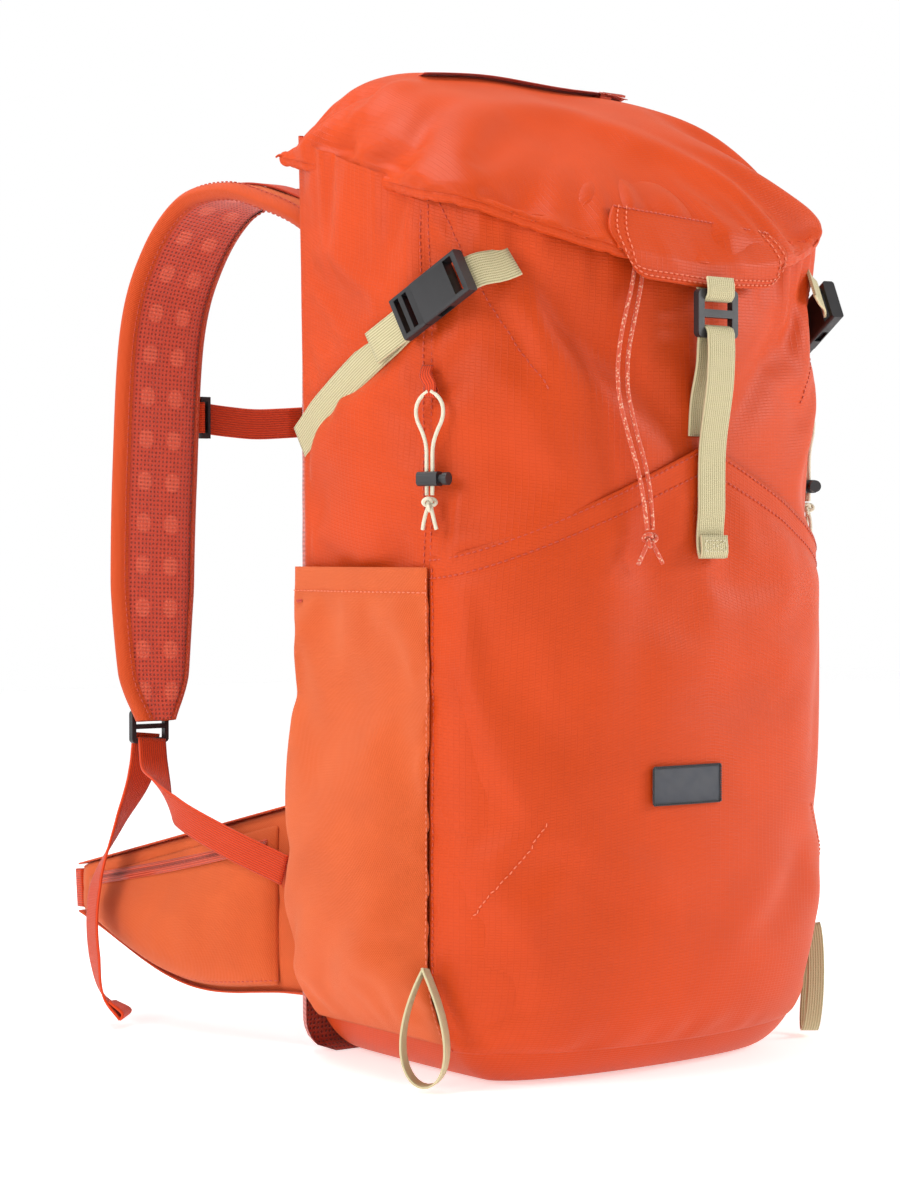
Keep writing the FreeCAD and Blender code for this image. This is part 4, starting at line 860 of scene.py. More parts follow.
for side, word in SIDES:
    rows = []
    for k in range(66):
        up = (k / 65) ** 1.1
        rows.append([side_pocket_point(side, (1 - math.cos(math.pi * j / 40)) / 2, up)
                     for j in range(41)])
    flip = side > 0
    piece = skin(f"side_pocket_skin_{word}", rows, twill, flip=flip, thick=0.0014)
    points = grid_of(piece)
    folds = []
    for start, end, width, depth in (
            ((0.095, 0.270), (0.060, 0.200), 0.010, -0.0026),
            ((0.070, 0.275), (0.030, 0.215), 0.011, 0.0024),
            ((0.080, 0.100), (0.030, 0.150), 0.013, -0.0026),
            ((0.095, 0.070), (0.050, 0.110), 0.010, 0.0030),
            ((0.060, 0.045), (0.020, 0.095), 0.010, 0.0030),
            ((0.020, 0.060), (-0.020, 0.130), 0.011, -0.0026),
            ((0.000, 0.250), (-0.022, 0.150), 0.010, 0.0022)):
        folds.append(((side * 0.155, *start), (side * 0.155, *end), width, depth))
    points = creased(points, folds, sign=1 if side < 0 else -1)
    set_grid(piece, points)
    held = np.zeros(points.shape[:2], bool)
    held[0], held[-4:] = True, True
    held[:, 0] = held[:, -1] = True
    settled(piece, held, 0.04, 22, 0.0042, bending=6.0)
    softened(piece, held)
    smoother(piece)
    sewn_on(piece, "root", "stretch_twill", f"side_pocket_{word}")
    points = grid_of(piece)
    lift = 0.0004 if side < 0 else -0.0004
    lines = [[on_grid(points, j / 60, 0.952, lift) for j in range(61)],
             [on_grid(points, 0.965, k / 60, lift) for k in range(60)]]
    stitches(f"side_pocket_stitches_{word}", lines, pale_thread, "root", "stretch_twill")
    tack = [on_grid(points, 0.20 + 0.002 * k, 0.93, lift * 2) for k in range(26)]
    stitches(f"side_pocket_bar_tack_{word}", [tack, np.array(tack) + (0, 0, 0.0008)],
             red_thread, "root", "stretch_twill", long=0.0012, gap=0.0001, thick=0.0006)

# ------------------------------------------------------------------- lid
# The lid is a cap of the same ripstop whose elastic hem draws it in all
# round, so that folds run up from the hem over the puffed crown.
LID_HINGE = (0.113, 0.536)
LID_OVERHANG, LID_DOME, CORNER_DROP, FRONT_DROP = 0.012, 0.062, 0.037, 0.036
LID_ROWS, LID_COLUMNS = 76, 121
lid_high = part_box("lid")[1]


def lid_point(u, v):
    """The lid's skin: u runs left to right, v from the hinge to the hem."""
    half = HALF_WIDTH + LID_OVERHANG - 0.002 - 0.009 * max(0.0, u) ** 2 * v
    nose = SEAM_Y - (FRONT_BULGE + LID_OVERHANG - 0.002) * math.sqrt(
        max(0.0, 1 - (0.995 * u) ** 2))
    y = LID_HINGE[0] - 0.002 + (nose - LID_HINGE[0]) * v
    hem = LID_HINGE[1] - CORNER_DROP * v - FRONT_DROP * v * (1 - u * u)
    across = math.sqrt(max(0.0, 1 - abs(u) ** 3.2))
    ahead = max(0.0, 1 - v**3.2) ** 0.62
    behind = math.sqrt(1 - max(0.0, 1 - v / 0.3) ** 4)
    return Vector((half * u, y, hem + (LID_DOME - 0.001) * across * ahead * behind))


rows = []
for k in range(LID_ROWS):
    v = (1 - math.cos(math.pi * k / (LID_ROWS - 1))) / 2
    row = []
    for j in range(LID_COLUMNS):
        u = math.sin(math.pi / 2 * (-1 + 2 * j / (LID_COLUMNS - 1)))
        row.append(lid_point(u, v))
    rows.append(row)
lid = skin("lid_cap", rows, nylon, flip=True, thick=0.0010)
points = grid_of(lid)
us = np.sin(np.pi / 2 * np.linspace(-1, 1, LID_COLUMNS))
vs = (1 - np.cos(np.pi * np.linspace(0, 1, LID_ROWS))) / 2
hem_gap = np.minimum((1 - np.abs(us))[None, :] * 1.9, (1 - vs)[:, None])
hem_gap = np.minimum(hem_gap, 0.6 + vs[:, None])
gather = np.exp(-(hem_gap / 0.17) ** 1.3)
turns = np.arctan2(us[None, :] * 0.9, (vs[:, None] - 0.45))
random.seed(5)
fold = np.array([[noise.noise(Vector((math.cos(t) * 3.4, math.sin(t) * 3.4, 1.0)))
                  + 0.55 * noise.noise(Vector((math.cos(t) * 8.5, math.sin(t) * 8.5, 4.0)))
                  for t in line] for line in turns])
edge_hold = np.clip(hem_gap / 0.03, 0.30, 1.0)
points = points - outward(points) * (fold * gather * edge_hold * 0.0135)[..., None]
slow = np.array([[noise.noise(Vector((p[0] * 16, p[1] * 16, 2.0))) for p in line]
                 for line in points])
points = points - outward(points) * (slow * (1 - gather) * 0.0042)[..., None]
lid_creases = [
    ((-0.120, -0.055, 0.520), (-0.040, -0.020, 0.585), 0.009, 0.0040),
    ((-0.095, -0.070, 0.510), (-0.010, -0.050, 0.575), 0.008, -0.0036),
    ((-0.135, -0.010, 0.530), (-0.070, 0.020, 0.590), 0.010, 0.0044),
    ((-0.138, 0.040, 0.540), (-0.080, 0.050, 0.590), 0.009, -0.0040),
    ((0.125, -0.045, 0.525), (0.050, 0.010, 0.588), 0.008, 0.0042),
    ((0.135, -0.015, 0.530), (0.060, 0.035, 0.590), 0.007, -0.0036),
    ((0.130, 0.020, 0.540), (0.070, 0.060, 0.590), 0.008, 0.0040),
    ((0.080, -0.078, 0.500), (0.030, -0.050, 0.565), 0.010, -0.0030),
]
points = creased(points, lid_creases, sign=-1)
set_grid(lid, points)
held = np.zeros(points.shape[:2], bool)
held[0], held[-1] = True, True
held[:, 0] = held[:, -1] = True
settled(lid, held, 0.050, 24, 0.006, bending=3.0)
softened(lid, held)
points = grid_of(lid)
points[..., 2] = np.minimum(points[..., 2], lid_high.z + 0.006)
set_grid(lid, points)
smoother(lid)
sewn_on(lid, "lid", "ripstop", "lid")

# The hem: a narrow casing turned under, with the elastic rolled inside it.
lid_points = grid_of(lid)
hem_line = [lid_points[k, 0] for k in range(4, LID_ROWS, 2)]
hem_line += [lid_points[-1, j] for j in range(1, LID_COLUMNS - 1)]
hem_line += [lid_points[k, -1] for k in range(LID_ROWS - 1, 3, -2)]
hem_line = resampled(hem_line, 0.0028)
centre = np.array([0.0, 0.02, 0.0])
rows = [[] for turn in range(9)]
for i, place in enumerate(hem_line):
    inward = centre - place
    inward[2] = 0
    inward /= np.linalg.norm(inward)
    puff = 1 + 0.30 * noise.noise(Vector((i * 0.55, 0, 0)))
    for k in range(9):
        turn = math.pi * (0.95 - 1.9 * k / 8)
        rows[k].append(place + inward * (0.0034 - 0.0034 * math.cos(turn) * puff)
                       + np.array([0, 0, 0.0046 * math.sin(turn) * puff - 0.001]))
hem = skin("lid_elastic_hem", rows, nylon, flip=True)
smoother(hem)
sewn_on(hem, "lid", "ripstop")

# The tongue is a doubled beak sewn over the hem, with two rows of stitching.
TONGUE_HALF, TONGUE_FOOT, TONGUE_TOP = 0.066, 0.4490, 0.490


def tongue_point(s, t, lift):
    """s runs across from -1 to 1, t from the seam down to the rounded edge."""
    corner = max(0.0, abs(s) - 0.72) / 0.28
    foot = TONGUE_FOOT + 0.012 * corner**2.2 + 0.004 * abs(s)
    half = TONGUE_HALF * (0.86 + 0.14 * math.sin(math.pi * min(1, t * 0.9)))
    x = half * s
    z = (TONGUE_TOP - 0.004 * s) + (foot - TONGUE_TOP + 0.004 * s) * t
    u = x / (HALF_WIDTH + LID_OVERHANG)
    rim = lid_point(u, 1.0)
    top = lid_point(u, 0.925)
    share = min(1.0, max(0.0, (z - rim.z) / (top.z - rim.z)))
    y = rim.y + (top.y - rim.y) * share - 0.0022 - lift
    y += 0.0016 * math.sin(math.pi * t) * math.cos(3.1 * s + 0.6)
    return (x, y, z)


rows = [[tongue_point(-1 + 2 * j / 40, k / 22, 0.0) for j in range(41)] for k in range(23)]
tongue = skin("lid_tongue_beak", rows, nylon, flip=True, thick=0.0024)
points = grid_of(tongue)
points = creased(points, [
    ((-0.015, -0.105, 0.488), (-0.005, -0.106, 0.466), 0.006, 0.0018),
    ((0.012, -0.105, 0.486), (0.024, -0.105, 0.462), 0.007, -0.0016),
    ((-0.036, -0.104, 0.484), (-0.026, -0.105, 0.462), 0.006, -0.0014)], sign=-1)
set_grid(tongue, points)
smoother(tongue)
sewn_on(tongue, "lid", "ripstop", "lid_tongue")
tongue_points = grid_of(tongue)
lines = [[on_grid(tongue_points, inset + (1 - 2 * inset) * j / 40, 1 - inset * 1.6, -0.0006)
          for j in range(41)] for inset in (0.03, 0.075)]
for inset in (0.03, 0.075):
    for way in (inset, 1 - inset):
        lines.append([on_grid(tongue_points, way, k / 20 * (1 - inset * 1.6), -0.0006)
                      for k in range(21)])
stitches("lid_tongue_stitches", lines, pale_thread, "lid", "ripstop")
seam = [on_grid(tongue_points, j / 40, 0.03, -0.0003) for j in range(41)]
stitches("lid_tongue_seam", [seam], red_thread, "lid", "ripstop", gap=0.0004)

# ------------------------------------------------------------ lid zip
# A coil zip is set across the crown on 13 mm knitted polyester tape; its
# slider runs along it from side to side.
ZIP_V, ZIP_HALF, TAPE_HALF, COIL_HALF = 0.24, 0.078, 0.0065, 0.0017


def coil_zip_tape(name, colour, shade):
    """Knitted polyester zip tape: fine wales along it, matt."""
    material, tree = new_material(name)
    across, along = cloth_axes(tree)
    wale = threads(tree, along, 1.4, 0.5)
    tone = add(tree, "Mix", {"data_type": "RGBA"}, {0: wale, 6: shade, 7: colour})[2]
    finish_surface(tree, tone, wale, (wale, 0.0002), {"Sheen Weight": 0.2})
    return material


zip_tape = coil_zip_tape("orange_zip_tape", linear("D8502A"), linear("A83418"))
zip_dark = polyester_thread("dark_red_nylon_coil", linear("7C2412"))


def zip_on(name, line, normals, body, slot, node=None, half=TAPE_HALF):
    """A zip along a line: two tapes, and the coil that closes them."""
    line, normals = np.array(line), np.array(normals)
    way = np.gradient(line, axis=0)
    side = np.cross(way, normals)
    side /= np.linalg.norm(side, axis=1, keepdims=True)
    rows = []
    for across, lift in ((-1, 0.0), (-0.5, 0.0009), (-0.18, 0.0006), (0.18, 0.0006),
                         (0.5, 0.0009), (1, 0.0)):
        rows.append(line + side * half * across + normals * lift)
    tape = skin(name + "_tape", rows, zip_tape, thick=0.0004)
    sewn_on(tape, body, slot)
    if node:
        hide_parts(node)
    teeth = resampled(line + normals * 0.0008, 0.0013)
    bars = []
    for place in teeth[1:-1]:
        bars.append([place - side[0] * COIL_HALF, place + side[0] * COIL_HALF])
    stitches(name + "_coil", bars, zip_dark, body, slot, long=0.0034, gap=0.0, thick=0.0005)


def zip_height(x):
    k = int(np.argmin(np.abs(vs - ZIP_V)))
    row = lid_points[k]
    return np.array([x, np.interp(x, row[:, 0], row[:, 1]), np.interp(x, row[:, 0], row[:, 2])])


line = [zip_height(x) + (0, 0, 0.0008) for x in np.linspace(-ZIP_HALF, ZIP_HALF, 53)]
normals = [np.array([0.0, 0.12, 0.99])] * 53
zip_on("lid_zip_closed", line, normals, "lid", "zip_tape", "lid_zip")

# ---------------------------------------------------------------- webbing
# Flat nylon webbing, 20 mm wide unless it says otherwise, 1.6 mm thick.  The
# ends are folded over and box stitched.
WEBBING, WEB_THICK = 0.020, 0.0016


def nylon_webbing(name, colour, shade, ribs=1.5, pick=1.0):
    """Woven webbing: lengthways ribs crossed by picks give a basket look; the
    ribs are about 0.8 mm apart, drawn at 1.5 mm so that they show."""
    material, tree = new_material(name)
    across, along = cloth_axes(tree)
    rib = threads(tree, across, ribs, 0.55)
    picks = threads(tree, along, pick, 0.42)
    weave = add(tree, "Math", {"operation": "MULTIPLY"}, {0: rib, 1: picks})[0]
    # Painted shadow: the grooves between the ribs, and the picks a little, are darkened towards
    # the shade colour.
    groove = add(tree, "Math", {"operation": "SUBTRACT"}, {0: 1.0, 1: rib})[0]
    dip = add(tree, "Math", {"operation": "MULTIPLY"}, {0: picks, 1: 0.35})[0]
    shadow = add(tree, "Math", {"operation": "MAXIMUM"}, {0: groove, 1: dip})[0]
    mix = add(tree, "Math", {"operation": "MULTIPLY"}, {0: shadow, 1: 0.8})[0]
    tone = add(tree, "Mix", {"data_type": "RGBA"}, {0: mix, 6: shade, 7: colour})[2]
    height = add(tree, "Math", {"operation": "SUBTRACT"}, {0: weave, 1: rib})[0]
    rough = add(tree, "MapRange", {}, {"Value": weave, "To Min": 0.62, "To Max": 0.8})[0]
    finish_surface(tree, tone, rough, (height, 0.00035),
                   {"Sheen Weight": 0.12, "Sheen Roughness": 0.4,
                    "Specular IOR Level": 0.25})
    return material


tan_webbing = nylon_webbing("tan_nylon_webbing", linear("CDC29B"), linear("A89C72"))
red_webbing = nylon_webbing("red_orange_nylon_webbing", linear("D6410F"), linear("AA2D08"))


def web_strap(name, path, material, slot, width=WEBBING, thick=WEB_THICK, body="root",
              nodes=(), step=0.003):
    """Webbing through (centre, across) stations, smoothed, with soft edges."""
    centres = np.array([tuple(c) for c, a in path], float)
    acrosses = np.array([tuple(a) for c, a in path], float)
    runs = np.linalg.norm(np.diff(centres, axis=0), axis=1)
    way = np.concatenate([[0], np.cumsum(runs)])
    fine = np.linspace(0, way[-1], max(8, int(way[-1] / step)))
    slopes = np.gradient(centres, way, axis=0)
    spots = []
    for t in fine:
        i = min(int(np.searchsorted(way, t, side="right")) - 1, len(way) - 2)
        h = way[i + 1] - way[i]
        s = (t - way[i]) / h
        spots.append((2 * s**3 - 3 * s**2 + 1) * centres[i] + (s**3 - 2 * s**2 + s) * h * slopes[i]
                     + (3 * s**2 - 2 * s**3) * centres[i + 1] + (s**3 - s**2) * h * slopes[i + 1])
    spots = np.array(spots)
    turn = np.stack([np.interp(fine, way, acrosses[:, k]) for k in range(3)], axis=1)
    along = np.gradient(spots, axis=0)
    along /= np.linalg.norm(along, axis=1, keepdims=True)
    turn -= along * (turn * along).sum(1, keepdims=True)
    turn /= np.linalg.norm(turn, axis=1, keepdims=True)
    rise = np.cross(along, turn)
    section = [(-0.5, 0.0)]
    section += [(-0.488 + 0.976 * k / 10, 0.5) for k in range(11)]
    section += [(0.5, 0.0)]
    section += [(0.488 - 0.976 * k / 10, -0.5) for k in range(11)]
    section.append(section[0])
    rows = [[p + a * (width * s) + r * (thick * h) for s, h in section]
            for p, a, r in zip(spots, turn, rise)]
    piece = skin(name, rows, material)
    flat = np.zeros((len(rows), len(section), 3))
    flat[..., 0] = np.array([s * width * 1000 for s, h in section])[None, :]
    flat[..., 1] = fine[:, None] * 1000
    ends = []
    count = len(section)
    for first in (0, (len(rows) - 1) * count):
        ends.append([first + k for k in range(count - 1)])
    verts = [tuple(v.co) for v in piece.data.vertices]
    faces = [tuple(p.vertices) for p in piece.data.polygons] + [tuple(ends[0][::-1]),
                                                                tuple(ends[1])]
    mesh = bpy.data.meshes.new(name)
    mesh.from_pydata(verts, [], faces)
    lay_flat(mesh, flat)
    mesh.materials.append(material)
    mesh.polygons.foreach_set("use_smooth", [True] * (len(faces) - 2) + [False] * 2)
    piece.data = mesh
    sewn_on(piece, body, slot, *nodes)
    return piece, spots, turn, rise


def box_tack(name, place, along, across, out, material, body, slot, long=0.012, wide=0.016):
    """A sewn box with a cross in it, as webbing is fixed."""
    place, along, across, out = (np.array(tuple(v), float) for v in (place, along, across, out))
    place = place + out * 0.0010
    corner = [place + along * (long / 2 * a) + across * (wide / 2 * b)
              for a, b in ((-1, -1), (1, -1), (1, 1), (-1, 1), (-1, -1))]
    lines = [corner[i:i + 2] for i in range(4)] + [[corner[0], corner[2]], [corner[1], corner[3]]]
    return stitches(name, lines, material, body, slot, long=0.0020, gap=0.0005, thick=0.0003)


# -------------------------------------------------------------- lid closure
# One tan strap comes up from the pocket's peak, turns round the hook's lower
# bar and falls to a folded end; a short tan loop holds the hook to the lid.
tan_thread = polyester_thread("tan_polyester_thread", linear("D9CFAE"))
hook_low, hook_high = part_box("lid_hook")
strap_low, strap_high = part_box("closure_strap")
across = Vector((1, 0, 0))
hook_y = (hook_low.y + hook_high.y) / 2
bar_z, top_z = hook_low.z + 0.00225, hook_high.z - 0.00225
stash_y = strap_high.y - 0.0068
back = [(stash_y + 0.0060, STASH_PEAK + 0.004), (stash_y + 0.0042, STASH_PEAK + 0.024),
        (hook_y + 0.0052, bar_z - 0.016), (hook_y + 0.0042, bar_z - 0.003)]
bend = [(hook_y + 0.0041 * math.cos(t), bar_z + 0.0041 * math.sin(t))
        for t in (0.5, 1.2, 1.9, 2.6)]
tail = [(hook_y - 0.0042, bar_z - 0.003), (hook_y - 0.0040, bar_z - 0.022),
        (stash_y - 0.0030, STASH_PEAK - 0.005), (stash_y - 0.0026, STASH_PEAK - 0.035),
        (stash_y - 0.0028, strap_low.z + 0.002), (stash_y - 0.0036, strap_low.z + 0.0002),
        (stash_y - 0.0046, strap_low.z + 0.002), (stash_y - 0.0045, strap_low.z + 0.014)]
path = [(Vector((0, y, z)), across) for y, z in back + bend + tail]
web_strap("closure_webbing", path, tan_webbing, "tan_webbing", nodes=["closure_strap"])
box_tack("closure_tack", (0, stash_y - 0.0052, strap_low.z + 0.008), (0, 0, 1), (1, 0, 0),
         (0, -1, 0), tan_thread, "root", "tan_webbing", long=0.006)
loop_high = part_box("lid_loop")[1]
under = [(loop_high.y - 0.0010, loop_high.z + 0.004), (loop_high.y - 0.0024, loop_high.z - 0.007),
         (hook_y + 0.0044, top_z + 0.003)]
bend = [(hook_y + 0.0040 * math.cos(t), top_z + 0.0040 * math.sin(t))
        for t in (-0.3, -1.1, -1.9, -2.7)]
over = [(hook_y - 0.0042, top_z + 0.003), (hook_y - 0.0030, top_z + 0.009)]
path = [(Vector((0, y, z)), across) for y, z in under + bend + over]
web_strap("lid_loop_webbing", path, tan_webbing, "tan_webbing", body="lid",
          nodes=["lid_loop"])

# ------------------------------------------------------- moulded hardware
# Buckles, cord locks, ladder locks and the lid's hook are injection moulded
# acetal, near black, with the fine spark finish of the mould on them.
ACETAL_GRAIN = 0.5


def moulded_acetal(name, colour, edge_highlight_colour):
    """Spark-eroded acetal: a half millimetre grain, and a painted highlight that makes sharp
    convex edges paler.
    """
    material, tree = new_material(name)
    place = object_place(tree)
    grain = add(tree, "TexNoise", {}, {"Vector": place, "Scale": 1 / ACETAL_GRAIN,
                                       "Detail": 2.0})[0]
    smear = add(tree, "TexNoise", {}, {"Vector": place, "Scale": 0.12, "Detail": 3.0})[0]
    edge = add(tree, "NewGeometry")[7]
    # Painted highlight: the colour goes paler where the surface is sharply convex.
    edge_highlight = add(tree, "MapRange", {}, {"Value": edge, "From Min": 0.52, "From Max": 0.60,
                                        "To Max": 0.55})[0]
    tone = add(tree, "Mix", {"data_type": "RGBA"}, {0: edge_highlight, 6: colour, 7: edge_highlight_colour})[2]
    rough = add(tree, "MapRange", {}, {"Value": smear, "From Min": 0.3, "From Max": 0.7,
                                       "To Min": 0.36, "To Max": 0.52})[0]
    finish_surface(tree, tone, rough, (grain, 0.00006), {"IOR": 1.48})
    return material


acetal = moulded_acetal("black_moulded_acetal", linear("141315"), linear("302F31"))
plastic_nodes = ["lid_hook", "sternum_socket", "sternum_plug", "hip_socket", "hip_plug"]
for side, word in SIDES:
    plastic_nodes += [f"{kind}_{word}" for kind in (
        "compression_socket", "compression_plug", "cord_lock", "cord_lock_button",
        "ladder_lock", "sternum_clip")]
for node in plastic_nodes:
    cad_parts[node].material_slots[0].material = acetal

# ----------------------------------------------------------- compression
# On each side a tan strap runs from the back seam up to its half of a side
# release buckle; a short stub sewn to the front holds the other half.
flat_bag = bag_points.reshape(-1, 3)


def bag_side(side, y, z):
    """How far out the bag's skin stands at a place on one side."""
    near = flat_bag[flat_bag[:, 0] * side > 0.06]
    gap = np.hypot(near[:, 1] - y, near[:, 2] - z)
    pick = np.argsort(gap)[:5]
    weight = 1 / (gap[pick] + 5e-4)
    return float((np.abs(near[pick, 0]) * weight).sum() / weight.sum())


BUCKLE_SEAT, BUCKLE_WAY = (0.1478, -0.0317, 0.4376), (-0.189, -0.860, 0.474)
STRAP_FOOT, PLUG_BAR, SOCKET_BAR, BAR_DEPTH = (0.101, 0.366), 0.0128, 0.0300, 0.0052
STUB_SEAM, STRAP_STAND, STUB_STAND = (0.1120, -0.0700, 0.4620), 0.0034, 0.0042
for side, word in SIDES:
    mirror = Vector((side, 1, 1))
    seat = Vector(BUCKLE_SEAT) * mirror
    along = (Vector(BUCKLE_WAY) * mirror).normalized()
    out = Vector((side * 0.977, -0.215, 0)).normalized()
    flat_across = out.cross(along).normalized()
    bar = seat - along * PLUG_BAR - out * BAR_DEPTH
    path = []
    for k in range(9):
        share = k / 8
        y = STRAP_FOOT[0] + (bar.y - STRAP_FOOT[0]) * share
        z = STRAP_FOOT[1] + (bar.z - STRAP_FOOT[1]) * share**1.08
        x = bag_side(side, y, z) + STRAP_STAND
        if k > 5:
            x = x + (max(abs(bar.x), x - 0.002) - x) * (k - 5) / 3
        path.append((Vector((side * x, y, z)), flat_across))
    web_strap(f"compression_webbing_{word}", path, tan_webbing, "tan_webbing",
              nodes=[f"compression_strap_{word}"])
    tail = []
    for s, lift in ((-0.0135, 0.0016), (-0.022, 0.0030), (-0.034, 0.0042), (-0.047, 0.0036)):
        spot = seat + along * s
        x = max(bag_side(side, spot.y, spot.z) + lift, abs(spot.x) - 0.004)
        tail.append((Vector((side * x, spot.y, spot.z)), flat_across))
    web_strap(f"compression_tail_{word}", tail, tan_webbing, "tan_webbing",
              body=f"compression_plug_{word}")
    start = seat + along * SOCKET_BAR - out * BAR_DEPTH
    foot = Vector(STUB_SEAM) * mirror
    path = [(start, flat_across), (start.lerp(foot, 0.35) + out * 0.0030, flat_across)]
    for share in (0.7, 1.0):
        spot = start.lerp(foot, share)
        spot = Vector(nearest_on(bag_points, [tuple(spot)], STUB_STAND)[0])
        path.append((spot, flat_across))
    web_strap(f"compression_stub_{word}", path, tan_webbing, "tan_webbing",
              nodes=["compression_stubs"] if side < 0 else ())

# -------------------------------------------------------------- sewn tabs
# Small tabs are sewn into the seams: one holds each pole cord, and a fin at
# each lower back corner takes the shoulder webbing.
for side, word in SIDES:
    root, along, out = keeper_axes(side)
    seam = Vector((side * HALF_WIDTH, SEAM_Y, 0))
    path = [(seam + out * 0.0030 + Vector((0, 0, 0.404)), along),
            (seam + out * 0.0056 + Vector((0, 0, 0.399)), along),
            (root + out * -0.0006 + Vector((0, 0, 0.3925)), along),
            (root + Vector((0, 0, 0.3865)), along),
            (root + out * -0.0034 + Vector((0, 0, 0.3885)), along),
            (seam + out * 0.0034 + Vector((0, 0, 0.394)), along)]
    web_strap(f"pole_tab_{word}", path, red_webbing, "red_webbing", width=0.007, thick=0.0010,
              nodes=["sewn_tabs"] if side < 0 else (), step=0.0012)
    rows = []
    for k in range(9):
        share = k / 8
        y = 0.099 + 0.026 * share
        low, high = 0.081 + 0.017 * share, 0.131 - 0.017 * share
        x = side * (0.1366 + 0.0009 * math.sin(math.pi * share))
        rows.append([(x, y, low + (high - low) * j / 12) for j in range(13)])
    fin = skin(f"webbing_anchor_{word}", rows, nylon, flip=side > 0, thick=0.0020)
    sewn_on(fin, "root", "ripstop")

# -------------------------------------------------------------- gear loops
# Two 10 mm tan tapes are caught in the seams' feet as loops for gear.
for side, word in SIDES:
    out = Vector((side * 0.8, -0.6, 0))
    foot = Vector((side * side_x(SEAM_Y, 0.070), -0.030, 0.070)) + out * 0.0118
    swing = Vector((0, 0, 1)).cross(out) * side
    path = []
    for k in range(25):
        t = 0.10 + (2 * math.pi - 0.20) * k / 24
        wide, fall = -0.0165 * math.sin(t) * math.sin(t / 2), -0.033 * (1 - math.cos(t))
        lean = 0.0015 * math.sin(t * 1.5)
        path.append((foot + swing * wide + Vector((0, 0, fall)) + out * lean, out))
    web_strap(f"gear_loop_{word}", path, tan_webbing, "tan_webbing", width=0.0105,
              thick=0.0012, nodes=["gear_loops"] if side < 0 else ())

# -------------------------------------------------------------- back panel
# The back panel is foam behind spacer mesh, moulded with one upright channel
# and three cross channels for air, and rounded off at its edge.
BACK_HALF, BACK_TOP, BACK_CORNER, BACK_PAD = 0.136, 0.535, 0.022, 0.013


def spacer_mesh(name, colour, shade, patches, patch_highlight_colour):
    """Knitted spacer mesh: staggered holes 2.4 mm apart, drawn at 2.8 mm.
    Where the foam behind it is pierced, small groups are given a paler colour as a painted
    highlight."""
    material, tree = new_material(name)
    across, along = cloth_axes(tree)
    flat = add(tree, "CombineXYZ", {}, {0: across, 1: along})[0]
    cell = add(tree, "TexVoronoi", {}, {"Vector": flat, "Scale": 1 / 2.8, "Randomness": 0.12})
    hole = add(tree, "MapRange", {"interpolation_type": "SMOOTHSTEP"},
               {"Value": cell[0], "From Min": 0.14, "From Max": 0.38, "To Min": 1.0,
                "To Max": 0.0})[0]
    # Painted shade: the holes are darkened towards the shade colour.
    tone = add(tree, "Mix", {"data_type": "RGBA"}, {0: hole, 6: colour, 7: shade})[2]
    if patches:
        # Painted highlight: pairs of small groups, spaced along the strap, are mixed towards a
        # paler colour.
        shifted = add(tree, "Math", {}, {0: across, 1: patches / 2})[0]
        bar = threads(tree, along, 27.0, 8.5)
        pair = threads(tree, shifted, patches, 7.5)
        dots = threads(tree, along, 2.4, 1.0)
        shown = add(tree, "Math", {"operation": "MULTIPLY"}, {0: bar, 1: pair})[0]
        shown = add(tree, "MapRange", {}, {"Value": shown, "From Min": 0.12,
                                           "From Max": 0.30})[0]
        speck = add(tree, "MapRange", {}, {"Value": dots, "To Min": 0.35, "To Max": 0.95})[0]
        shown = add(tree, "Math", {"operation": "MULTIPLY"}, {0: shown, 1: speck})[0]
        tone = add(tree, "Mix", {"data_type": "RGBA"}, {0: shown, 6: tone, 7: patch_highlight_colour})[2]
    rough = add(tree, "MapRange", {}, {"Value": hole, "To Min": 0.72, "To Max": 0.9})[0]
    depth = add(tree, "Math", {"operation": "SUBTRACT"}, {0: 1.0, 1: hole})[0]
    finish_surface(tree, tone, rough, (depth, 0.0005),
                   {"Sheen Weight": 0.25, "Sheen Roughness": 0.5})
    return material


back_mesh = spacer_mesh("rust_spacer_mesh", linear("B8391F"), linear("7E2210"), 0, None)
rows = []
for k in range(111):
    z = BACK_TOP * k / 110
    row = []
    for j in range(71):
        s = -1 + 2 * j / 70
        round_top = max(0.0, (z - BACK_TOP + BACK_CORNER) / BACK_CORNER)
        round_low = max(0.0, (BACK_CORNER - z) / BACK_CORNER)
        pinch = BACK_CORNER * (1 - math.sqrt(1 - min(1, max(round_top, round_low)) ** 2))
        x = (BACK_HALF - pinch) * s
        edge = min(BACK_HALF - pinch - abs(x), z, BACK_TOP - z)
        rim = min(1.0, max(0.0, edge / 0.011))
        crown = math.sqrt(1 - (1 - rim) ** 2)
        channel = math.exp(-(x / 0.016) ** 4)
        for level in (0.115, 0.245, 0.375):
            bend = level + 0.010 * abs(x / BACK_HALF) ** 2
            channel = max(channel, math.exp(-((z - bend) / 0.008) ** 2) * (abs(x) < 0.118))
        quilt = 0.0006 * math.sin(x * 210) * math.sin(z * 210)
        y = 0.1003 + (BACK_PAD - 0.0006) * crown - (0.0062 * channel + quilt) * rim
        row.append((x, y, z))
    rows.append(row)
back = skin("back_panel_pad", rows, back_mesh, flip=True)
sewn_on(back, "root", "foam_mesh", "back_panel")
sheet_material, tree = new_material("black_hdpe_sheet")
scuff = add(tree, "TexNoise", {}, {"Vector": object_place(tree), "Scale": 0.2, "Detail": 4.0})[0]
rough = add(tree, "MapRange", {}, {"Value": scuff, "To Min": 0.4, "To Max": 0.6})[0]
tone = add(tree, "Mix", {"data_type": "RGBA"}, {0: scuff, 6: linear("1B1B1D"),
                                                7: linear("2C2C2E")})[2]
finish_surface(tree, tone, rough, (scuff, 0.0001), {"IOR": 1.5})
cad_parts["frame_sheet"].material_slots[0].material = sheet_material

